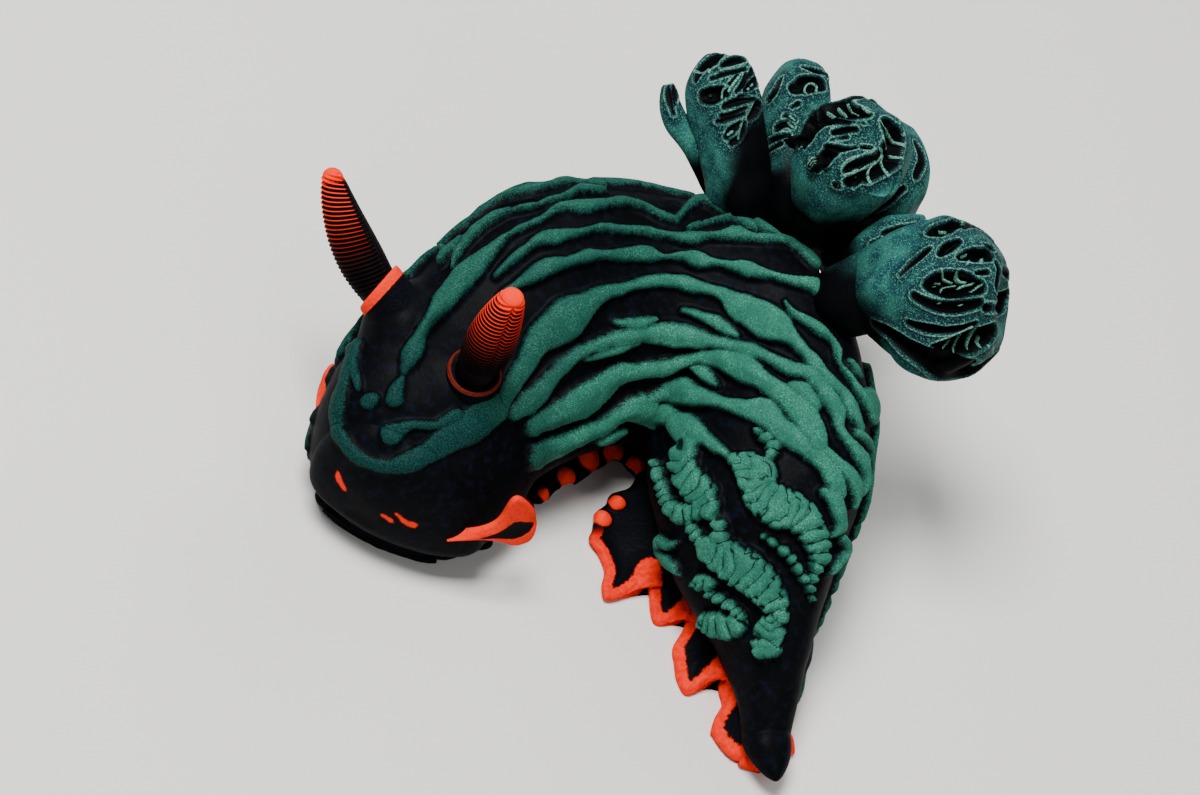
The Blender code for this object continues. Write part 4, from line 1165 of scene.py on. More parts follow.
@dataclass
class Plume:
    """A gill plume: a stalk that swells into a rosette, with rimmed hollows that hold fine side ribs."""

    form: BodyForm
    view: PhotoView
    number: int
    root: tuple[float, float]
    branches: tuple[Branch, ...]
    rows: int = 210
    columns: int = 420
    near_side: float = 270.0
    round_from: float = 0.6
    mouth: float = 1.6
    crease: float = 0.25
    hollow_depth: float = 1.6
    rim_height: float = 0.12
    rib_pitch: float = 0.8
    rib_width: float = 0.13
    rib_slant: float = 0.45
    hidden_petals: int = 26
    hidden_facing: float = -0.3
    side_grid: tuple[int, int] = (120, 80)

    def stem(self, branch: Branch, rows: int, columns: int) -> tuple[Array, Array, Array, Array]:
        """Sweep circles along a branch's spine: the radius closes as a half ellipse and the mouth dips in.

        Args:
            branch: The branch.
            rows: How many rings.
            columns: How many points round each ring.

        Returns:
            Points, outward normals, the share of the way along and the angle round, all by row and column.
        """
        base = self.view.depth(self.form.skin(*map(np.array, self.root)))
        spine = np.array(branch.spine)
        centres = self.view.at_depth(spine[:, :2], base - spine[:, 2])
        path = smooth_path(np.column_stack((centres, spine[:, 3])), 30)
        run = np.concatenate(((0,), np.cumsum(np.linalg.norm(np.diff(path[:, :3], axis=0), axis=1))))
        share = np.linspace(0, 1, rows)
        share = 0.9995 * np.where(share < 0.5, share, 0.5 + 0.5 * np.sin((share - 0.5) * np.pi))
        even = np.stack([np.interp(share * run[-1], run, path[:, axis]) for axis in range(4)], -1)
        closing = np.sqrt(1 - np.clip((share - self.round_from) / (1 - self.round_from), 0, 1) ** 2)
        radius = even[:, 3] * closing
        tangent = unit(np.gradient(even[:, :3], share, axis=0))
        across = unit(np.cross(tangent, self.view.axes[2]))
        over = np.cross(tangent, across)
        angle = np.linspace(0, 2 * np.pi, columns, endpoint=False)[None]
        angle = angle + 0.42 * np.sin(angle - np.radians(self.near_side) + np.pi)
        spoke = across[:, None] * np.cos(angle)[..., None] + over[:, None] * np.sin(angle)[..., None]
        petal = np.abs((angle * branch.petals / (2 * np.pi)) % 1 - 0.5)
        dip = self.crease * np.exp(-((petal / 0.07) ** 2)) * smooth_step(share, 0.5, 0.85)[:, None]
        wide = radius[:, None] * (1 + 0.04 * np.cos(2 * np.pi * petal)) - dip * closing[:, None]
        sunk = self.mouth * smooth_step(1 - closing, 0.45, 1.0) * min(1.0, spine[:, 3].max() / 5)
        points = even[:, None, :3] - (tangent * sunk[:, None])[:, None] + spoke * wide[..., None]
        points = points + spoke * (0.12 * grain(points, 2.2, 20 + self.number))[..., None]
        along = np.gradient(points, axis=0)
        around = np.roll(points, -1, axis=1) - np.roll(points, 1, axis=1)
        normal = unit(np.cross(around, along))
        normal = normal * np.sign((normal[: rows // 2] * spoke[: rows // 2]).sum())
        return points, normal, share[:, None] + 0 * angle, angle + 0 * share[:, None]

    def hidden_hollows(self, points: Array, facing: Array) -> list[Marking]:
        """Draw the hollows of the side that the photograph hides: petals that run from the middle to the mouth.

        Args:
            points: The stem's points by row and column.
            facing: How far each of them faces the camera.

        Returns:
            The hollows that lie wholly on the hidden side.
        """
        rows, columns = points.shape[:2]
        random = np.random.default_rng(SEED + self.number)
        lines = []
        for petal in range(self.hidden_petals):
            column = int((petal + random.uniform(0.2, 0.8)) / self.hidden_petals * columns) % columns
            first, last = int(rows * random.uniform(0.4, 0.5)), int(rows * random.uniform(0.86, 0.92))
            places = np.linspace(first, last, 9).astype(int)
            spiral = (column + (places - first) // 9) % columns
            half = 0.2 + random.uniform(0.7, 1.2) * np.sin(np.linspace(0.1, np.pi - 0.1, 9)) ** 0.8
            if facing[places, spiral].max() < self.hidden_facing:
                lines.append(Marking(points[places, spiral], half))
        return lines

    def branch_surface(self, branch: Branch, rows: int, columns: int) -> Surface:
        """Press the hollows into a branch and raise their rims and ribs.

        A point sinks by the hollow's depth times a smooth step of its depth inside the outline. Side ribs stand
        where the way along the hollow less the distance from its middle is a whole number of pitches.

        Args:
            branch: The branch.
            rows: How many rings.
            columns: How many points round each ring.

        Returns:
            The closed branch.
        """
        points, normal, share, angle = self.stem(branch, rows, columns)
        facing = (normal * unit(self.view.eye - points)).sum(-1)
        lines, ribs = ([self.view.on_surface(trace, points, facing, 8) for trace in traces]
                       for traces in (branch.hollows, branch.ribs))
        if len(lines) > 3:
            lines += self.hidden_hollows(points, facing)
        inside, along, half = depth_inside(points, lines, 2.0)
        off = np.maximum(half - inside, 0)
        inside = inside + 0.08 * grain(points, 0.9, 31)
        veins, _, _ = depth_inside(points, ribs, 0.6)
        phase = (along - self.rib_slant * off + 0.12 * grain(points, 1.5, 32)) / self.rib_pitch
        wave = np.abs((phase + 0.5) % 1 - 0.5) * self.rib_pitch
        side = np.exp(-((wave / self.rib_width) ** 2)) * smooth_step(off, 0.1, 0.25)
        middle = np.exp(-((off / 0.14) ** 2)) * smooth_step(half, 0.5, 0.8)
        rib = np.maximum(middle, side) * smooth_step(inside, 0.05, 0.2) * (1 - smooth_step(facing, -0.1, 0.1))
        rib = np.maximum(rib, smooth_step(veins, -0.07, 0.04))
        thick = max(radius for *_, radius in branch.spine)
        deep = self.hollow_depth * np.clip(half * 0.9, 0.35, 1) * min(1.0, thick / 5.5)
        gentle = 0.25 + 0.75 * smooth_step(np.abs(facing), 0.0, 0.4)
        sink = smooth_step(inside, 0.0, 0.45) * deep * (1 - 0.55 * rib) * gentle
        rim = np.exp(-(((inside + 0.08) / 0.12) ** 2))
        points = points + normal * (self.rim_height * rim - sink)[..., None]
        # How near a point lies to a hollow, for the painted shade round it.
        closeness = np.exp(-((np.clip(-inside, 0, 9) / 0.8) ** 2))
        # Painted shade: the stem is dark towards its root, up to dark_to, and further on one side by dark_side.
        lit = share - branch.dark_side * np.cos(angle) + 0.06 * grain(points, 1.6, 33)
        lit = smooth_step(lit, branch.dark_to - 0.1, branch.dark_to + 0.1)
        return tube(points, {"hollow": inside, "rib": rib, "rim": rim, "lit": lit, "near_hollow": closeness})

    def surface(self) -> Surface:
        """Join all branches into one surface; the first one is the stalk and the others start inside it.

        Returns:
            The plume.
        """
        stalk, *sides = self.branches
        shapes = [self.branch_surface(stalk, self.rows, self.columns)]
        shapes += [self.branch_surface(branch, *self.side_grid) for branch in sides]
        starts = np.cumsum([0] + [len(shape.points) for shape in shapes])
        shapes = [shape.turned_outward() for shape in shapes]
        return Surface(np.concatenate([shape.points for shape in shapes]),
                       np.concatenate([shape.quads + start for shape, start in zip(shapes, starts)]),
                       np.concatenate([shape.triangles + start for shape, start in zip(shapes, starts)]),
                       {key: np.concatenate([shape.values[key] for shape in shapes])
                        for key in shapes[0].values})

    def build(self, material: bpy.types.Material) -> bpy.types.Object:
        """Make the plume in place of its solid."""
        name = f"gill_plume_{self.number}"
        return self.surface().piece(f"plume_{self.number}_form", "gill", material, (name,))


class Kind(Enum):
    """The kinds of shader node that the finishes are made of."""

    PLACE = "ShaderNodeTexCoord"
    VALUE = "ShaderNodeAttribute"
    NOISE = "ShaderNodeTexNoise"
    RANGE = "ShaderNodeMapRange"
    MATH = "ShaderNodeMath"
    MIX = "ShaderNodeMix"
    BUMP = "ShaderNodeBump"


# A range with this setting rises along a smooth step from 0 to 1, or between the two last of its five inputs.
SMOOTH = {"interpolation_type": "SMOOTHSTEP"}


def add_node(tree: bpy.types.NodeTree, kind: Kind, inputs: dict | tuple = (), output: int | str = 0,
             **settings: str) -> Socket:
    """Add a shader node with its settings and with what sets or feeds its inputs.

    Args:
        tree: The material's node tree.
        kind: The kind of node.
        inputs: A number, a hex colour or a socket for each input, in order or by the input's name or number.
        output: Which output is wanted.
        **settings: The node's properties by name.

    Returns:
        The output socket.
    """
    made = tree.nodes.new(kind.value)
    for name, value in settings.items():
        setattr(made, name, value)
    for key, value in (inputs if isinstance(inputs, dict) else dict(enumerate(inputs))).items():
        if isinstance(value, Socket):
            tree.links.new(value, made.inputs[key])
        else:
            made.inputs[key].default_value = linear(value) if isinstance(value, str) else value
    return made.outputs[output]


@dataclass(frozen=True)
class WetSkin:
    """What all the finishes share: soft mucous skin, near matt, under a very thin film of slime.

    Living skin has an IOR near 1.38, and its microscopic papillae scatter light, so it gives the eye a velvety
    black with only faint, broad glints. The fine grain is what the papillae look like close by. It is drawn
    several times as coarse as it is, or it would not show in the render.
    """

    name: str = "mucous_skin"
    ior: float = 1.38
    specular: float = 0.05
    roughness: float = 0.6
    film: float = 0.012
    film_roughness: float = 0.3
    relief: float = 0.06

    def make(self) -> bpy.types.Material:
        """Build the material: a shader that every finish shares, under the colour and relief from paint.

        Returns:
            The material.
        """
        material = bpy.data.materials.new(self.name)
        material.use_nodes = True
        tree = material.node_tree
        node = partial(add_node, tree)
        shader = tree.nodes["Principled BSDF"]
        for name, value in (("Roughness", self.roughness), ("IOR", self.ior),
                            ("Specular IOR Level", self.specular), ("Coat Weight", self.film),
                            ("Coat Roughness", self.film_roughness)):
            shader.inputs[name].default_value = value
        colour, height = self.paint(node, node(Kind.PLACE, output="Object"))
        tree.links.new(colour, shader.inputs["Base Color"])
        normal = node(Kind.BUMP, {"Strength": 1.0, "Distance": self.relief * METRES, "Height": height})
        for name in ("Normal", "Coat Normal"):
            tree.links.new(normal, shader.inputs[name])
        return material

    def paint(self, node: Adder, place: Socket) -> tuple[Socket, Socket]:
        """Give the finish's colour and its relief from 0 to 1.

        Args:
            node: The function that adds a node to this material.
            place: The object coordinates.

        Returns:
            The colour and the relief.
        """
        raise NotImplementedError

    def read(self, node: Adder, *names: str) -> list[Socket]:
        """Read the piece's own values by their names."""
        return [node(Kind.VALUE, output="Fac", attribute_name=name) for name in names]

    def spots(self, node: Adder, place: Socket, *kinds: tuple[float, float]) -> list[Socket]:
        """Give a noise for each spot size in millimetres and detail."""
        return [node(Kind.NOISE, {"Vector": place, "Scale": 1 / (size * METRES), "Detail": detail}, "Fac")
                for size, detail in kinds]

    def lay(self, node: Adder, ground: Socket | str, *coats: tuple[Socket, Socket | str]) -> Socket:
        """Lay coats of colour over a ground, one after another.

        Args:
            node: The function that adds a node to this material.
            ground: The colour below.
            *coats: The share and the colour of each coat.

        Returns:
            The colour that shows.
        """
        for share, colour in coats:
            ground = node(Kind.MIX, {0: share, 6: ground, 7: colour}, 2, data_type="RGBA")
        return ground


@dataclass(frozen=True)
class RidgedSkin(WetSkin):
    """Velvet-black mucous skin with blue-green ridge crests, finely stippled and faintly wrinkled across, with
    painted shade.
    """

    name: str = "mucous_skin_ridged"
    relief: float = 0.05
    black: str = "030406"
    blue: str = "070C18"
    green: str = "33745F"
    # A dark green of painted shade, for the ridges' flanks and the wrinkles' creases.
    deep: str = "0B2C2B"
    middle: str = "1D5647"
    dot: str = "5FA68A"
    # The colour of the painted shade over the head and front, and its stipple.
    shade_colour: str = "071F1E"
    shade_dot: str = "123E39"
    orange: str = "E62606"
    stipple: float = 0.11
    mottle: float = 0.7
    patch: float = 1.7
    fine_ragged: float = 0.3
    soft_ragged: float = 0.25
    groove: float = 0.09
    pleat_pitch: float = 0.95
    wrinkle_pitch: float = 0.6
    wrinkle_drift: float = 14.0

    def paint(self, node: Adder, place: Socket) -> tuple[Socket, Socket]:
        """Colour the crests and the valleys from the ridge, along, orange, shade, fold and phase values.

        Args:
            node: The function that adds a node to this material.
            place: The object coordinates.

        Returns:
            The colour and the relief.
        """
        ridge, along, orange = self.read(node, "ridge", "along", "orange")
        shade, fold, phase = self.read(node, "shade", "fold", "phase")
        fine, soft, coarse = self.spots(node, place, (self.stipple, 1.0), (self.mottle, 2.0), (self.patch, 2.0))
        # The crest's edge runs ragged with the grain, whose middle is a half.
        edge = node(Kind.MATH, (fine, self.fine_ragged, ridge), operation="MULTIPLY_ADD")
        edge = node(Kind.MATH, (soft, self.soft_ragged, edge), operation="MULTIPLY_ADD")
        edge = node(Kind.MATH, (edge, (self.fine_ragged + self.soft_ragged) / 2), operation="SUBTRACT")
        crest = node(Kind.RANGE, (edge, -0.1, 0.1), **SMOOTH)
        # Fine wrinkles cross the ridge, a sine of the way along it, with painted shade in their creases.
        turns = node(Kind.MATH, (along, 2 * np.pi / self.wrinkle_pitch), operation="MULTIPLY")
        turns = node(Kind.MATH, (soft, self.wrinkle_drift, turns), operation="MULTIPLY_ADD")
        turns = node(Kind.MATH, (turns,), operation="SINE")
        wrinkle = node(Kind.RANGE, (turns, -1.0, 0.2), **SMOOTH)
        # Painted shade, a black line at every whole phase between two pleats, weaker in the middle of a column.
        away = node(Kind.MATH, (phase, 0.5), operation="PINGPONG")
        wide = self.groove / self.pleat_pitch
        groove = node(Kind.RANGE, (away, 0.3 * wide, wide, 0.9, 0.0), **SMOOTH)
        for gate in ((fold, -0.2, 0.0), (fold, 0.5, 1.4, 1.0, 0.55), (coarse, 0.2, 0.45)):
            gate = node(Kind.RANGE, gate, **SMOOTH)
            groove = node(Kind.MATH, (groove, gate), operation="MULTIPLY")
        # The painted shade's colour, stippled.
        shade_colour = self.lay(node, self.shade_colour, (node(Kind.RANGE, (fine, 0.35, 0.7), **SMOOTH), self.shade_dot))
        # Green stipple and pale dots on a darker ground, then dull patches.
        # Then painted shade: dark flanks, creases, black lines between pleats, and the shade colour over head and
        # front.
        tone = self.lay(node, self.middle,
                        (node(Kind.RANGE, (fine, 0.3, 0.7), **SMOOTH), self.green),
                        (node(Kind.RANGE, (fine, 0.56, 0.7, 0.0, 0.35), **SMOOTH), self.dot),
                        (node(Kind.RANGE, (coarse, 0.4, 0.65, 0.0, 0.6), **SMOOTH), self.middle),
                        (node(Kind.RANGE, (edge, 0.0, 0.28, 0.6, 0.0), **SMOOTH), self.deep),
                        (node(Kind.RANGE, (turns, -1.0, 0.2, 0.1, 0.0), **SMOOTH), self.deep),
                        (groove, self.black), (shade, shade_colour))
        spot = node(Kind.MATH, (soft, 0.2, orange), operation="MULTIPLY_ADD")
        colour = self.lay(node, self.black,
                          (node(Kind.RANGE, (soft, 0.45, 0.8), **SMOOTH), self.blue),
                          (crest, tone), (node(Kind.RANGE, (spot, 0.0, 0.2), **SMOOTH), self.orange))
        relief = node(Kind.MATH, (wrinkle, crest), operation="MULTIPLY")
        relief = node(Kind.MATH, (relief, 0.15), operation="MULTIPLY")
        return colour, node(Kind.MATH, (fine, 0.5, relief), operation="MULTIPLY_ADD")


@dataclass(frozen=True)
class FootSkin(WetSkin):
    """Smooth black mucous skin of the foot, with a thin, bright orange margin and round orange lobes painted
    lighter against the flank's shadow.
    """

    name: str = "mucous_skin_foot"
    black: str = "04060A"
    orange: str = "E82404"
    deep: str = "CE1C02"
    # The lobes' lighter orange: painted light against the shadow of the flank above them.
    bright: str = "F62E08"
    band_width: float = 0.85
    ragged: float = 0.5

    def paint(self, node: Adder, place: Socket) -> tuple[Socket, Socket]:
        """Colour the band, the lobes and the black from the margin, black and lobe values.

        Args:
            node: The function that adds a node to this material.
            place: The object coordinates.

        Returns:
            The colour and the relief.
        """
        margin, black, lobe = self.read(node, "margin", "black", "lobe")
        fine, soft = self.spots(node, place, (0.35, 3.0), (0.5, 2.0))
        edge = node(Kind.MATH, (fine, self.ragged, margin), operation="MULTIPLY_ADD")
        middle = self.band_width + self.ragged / 2
        inner = node(Kind.RANGE, (edge, middle - 0.1, middle + 0.1), **SMOOTH)
        dark = node(Kind.MATH, (inner, black), operation="MAXIMUM")
        bare = node(Kind.RANGE, (lobe, 0.0, 0.12, 1.0, 0.0), **SMOOTH)
        dark = node(Kind.MATH, (dark, bare), operation="MULTIPLY")
        # The lobes take the lighter orange: their own orange, painted lighter against the flank's shadow.
        return self.lay(node, self.deep,
                        (node(Kind.RANGE, (soft, 0.35, 0.65), **SMOOTH), self.orange),
                        (node(Kind.RANGE, (lobe, 0.0, 0.1), **SMOOTH), self.bright),
                        (dark, self.black)), fine


@dataclass(frozen=True)
class ClubSkin(WetSkin):
    """Black club with orange plate edges that darken to red towards the base in painted shade, and a bright
    orange tip.
    """

    name: str = "mucous_skin_rhinophore"
    relief: float = 0.04
    black: str = "080405"
    dark: str = "4A120C"
    orange: str = "E82808"
    bright_from: float = 0.72

    def paint(self, node: Adder, place: Socket) -> tuple[Socket, Socket]:
        """Colour the plates' edges and the tip from the plate and share values.

        Args:
            node: The function that adds a node to this material.
            place: The object coordinates.

        Returns:
            The colour and the relief.
        """
        plate, share = self.read(node, "plate", "share")
        fine, = self.spots(node, place, (0.2, 2.0))
        share = node(Kind.MATH, (fine, 0.06, share), operation="MULTIPLY_ADD")
        plate = node(Kind.MATH, (share, 0.5, plate), operation="MULTIPLY_ADD")
        plate = node(Kind.RANGE, (plate, 1.12, 1.4), **SMOOTH)
        tip = node(Kind.RANGE, (share, 0.93, 0.97), **SMOOTH)
        # Painted shade: towards the base the plates' orange darkens to dark red and then to black.
        red = node(Kind.RANGE, (share, 0.3, self.bright_from), **SMOOTH)
        lit = self.lay(node, self.dark, (red, self.orange))
        lit = self.lay(node, self.black, (node(Kind.RANGE, (share, 0.12, 0.34), **SMOOTH), lit))
        return self.lay(node, self.black, (node(Kind.MATH, (plate, tip), operation="MAXIMUM"), lit)), fine


@dataclass(frozen=True)
class CollarSkin(WetSkin):
    """The black skin drawn up round a rhinophore, with an orange or dark red lip."""

    name: str = "mucous_skin_collar"
    relief: float = 0.12
    black: str = "04060A"
    dull: str = "5E1C16"
    orange: str = "E62606"

    def paint(self, node: Adder, place: Socket) -> tuple[Socket, Socket]:
        """Colour the lip from the rim and bright values.

        Args:
            node: The function that adds a node to this material.
            place: The object coordinates.

        Returns:
            The colour and the relief.
        """
        rim, bright = self.read(node, "rim", "bright")
        fine, = self.spots(node, place, (0.28, 3.0))
        rim = node(Kind.MATH, (fine, 0.5, rim), operation="MULTIPLY_ADD")
        lip = self.lay(node, self.dull, (bright, self.orange))
        return self.lay(node, self.black, (node(Kind.RANGE, (rim, 0.7, 0.85), **SMOOTH), lip)), fine


@dataclass(frozen=True)
class TentacleSkin(WetSkin):
    """Bright orange flap with a black hollow and fine dark streaks."""

    name: str = "mucous_skin_tentacle"
    black: str = "08080A"
    orange: str = "E62608"
    streak: str = "A82004"

    def paint(self, node: Adder, place: Socket) -> tuple[Socket, Socket]:
        """Colour the hollow from the dark value, and streak the orange.

        Args:
            node: The function that adds a node to this material.
            place: The object coordinates.

        Returns:
            The colour and the relief.
        """
        dark, = self.read(node, "dark")
        fine, = self.spots(node, place, (0.3, 3.0))
        dark = node(Kind.MATH, (fine, 0.5, dark), operation="MULTIPLY_ADD")
        return self.lay(node, self.orange,
                        (node(Kind.RANGE, (fine, 0.5, 0.75, 0.0, 0.45), **SMOOTH), self.streak),
                        (node(Kind.RANGE, (dark, 0.7, 0.85), **SMOOTH), self.black)), fine


@dataclass(frozen=True)
class GillSkin(WetSkin):
    """Thin gill tissue: teal with a fine stipple, pale on rims and ribs, with painted shade: black at the root
    and in hollows, dark blue near them.
    """

    name: str = "mucous_skin_gill"
    relief: float = 0.03
    black: str = "030406"
    # A dark blue of painted shade, near the hollows and in mottled patches.
    shade_blue: str = "0A1722"
    teal: str = "12323A"
    green: str = "275E54"
    pale: str = "77AE98"
    dot: str = "4C8F80"

    def paint(self, node: Adder, place: Socket) -> tuple[Socket, Socket]:
        """Colour the wall and the hollows from the hollow, rib, rim, lit and near_hollow values.

        Args:
            node: The function that adds a node to this material.
            place: The object coordinates.

        Returns:
            The colour and the relief.
        """
        hollow, rib, rim, lit, near = self.read(node, "hollow", "rib", "rim", "lit", "near_hollow")
        fine, coarse = self.spots(node, place, (0.13, 1.0), (1.4, 2.0))
        # Painted shade: the wall darkens to dark blue near the hollows and in mottled patches.
        near = node(Kind.MATH, (near, coarse), operation="ADD")
        wall = self.lay(node, self.teal,
                        (node(Kind.RANGE, (coarse, 0.3, 0.7), **SMOOTH), self.green),
                        (node(Kind.RANGE, (near, 0.5, 1.3, 0.0, 0.85), **SMOOTH), self.shade_blue),
                        (node(Kind.RANGE, (fine, 0.52, 0.68, 0.0, 0.55), **SMOOTH), self.dot))
        pale = self.lay(node, self.green, (node(Kind.RANGE, (fine, 0.35, 0.65), **SMOOTH), self.pale))
        rim = node(Kind.RANGE, (rim, 0.5, 1.0, 0.0, 0.5), **SMOOTH)
        rim = node(Kind.MATH, (rim, lit), operation="MULTIPLY")
        # Painted shade: black where the stem is not lit, and black in the hollows.
        return self.lay(node, self.black, (lit, wall), (rim, pale),
                        (node(Kind.RANGE, (hollow, 0.02, 0.14), **SMOOTH), self.black),
                        (node(Kind.RANGE, (rib, 0.5, 0.85, 0.0, 0.7), **SMOOTH), pale)), fine


@dataclass(frozen=True)
class Studio:
    """A plain pale floor and soft lights, in metres and watts."""

    floor: float = 0.9
    floor_colour: str = "D9D7D2"
    lamps: tuple[tuple[str, tuple[float, float, float], float, float], ...] = (
        ("key", (-0.1, -0.06, 0.36), 0.14, 2.7), ("fill", (0.3, -0.2, 0.25), 0.3, 0.5),
        ("back", (0.05, 0.3, 0.22), 0.2, 0.6))

    def build(self) -> None:
        """Lay the floor and hang three soft lights and an even surround."""
        half = self.floor / 2
        mesh = bpy.data.meshes.new("floor")
        corners = [(-half, -half, 0), (half, -half, 0), (half, half, 0), (-half, half, 0)]
        mesh.from_pydata(corners, [], [(0, 1, 2, 3)])
        ground = bpy.data.objects.new("floor", mesh)
        bpy.context.scene.collection.objects.link(ground)
        paint = bpy.data.materials.new("matt_floor_paint")
        paint.use_nodes = True
        shader = paint.node_tree.nodes["Principled BSDF"]
        shader.inputs["Base Color"].default_value = linear(self.floor_colour)
        shader.inputs["Roughness"].default_value = 0.85
        mesh.materials.append(paint)
        for name, place, size, power in self.lamps:
            lamp = bpy.data.lights.new(name, "AREA")
            lamp.size = size
            lamp.energy = power
            holder = bpy.data.objects.new(name, lamp)
            away = np.array(place) - (0, -0.005, 0.01)
            side = unit(np.cross((0, 0, 1), away))
            turn = Matrix(np.stack((side, unit(np.cross(away, side)), unit(away)), -1).tolist()).to_4x4()
            turn.translation = place
            holder.matrix_world = turn
            bpy.context.scene.collection.objects.link(holder)
        world = bpy.data.worlds.new("surround")
        world.use_nodes = True
        world.node_tree.nodes["Background"].inputs["Color"].default_value = (0.9, 0.95, 1.0, 1)
        world.node_tree.nodes["Background"].inputs["Strength"].default_value = 0.2
        bpy.context.scene.world = world


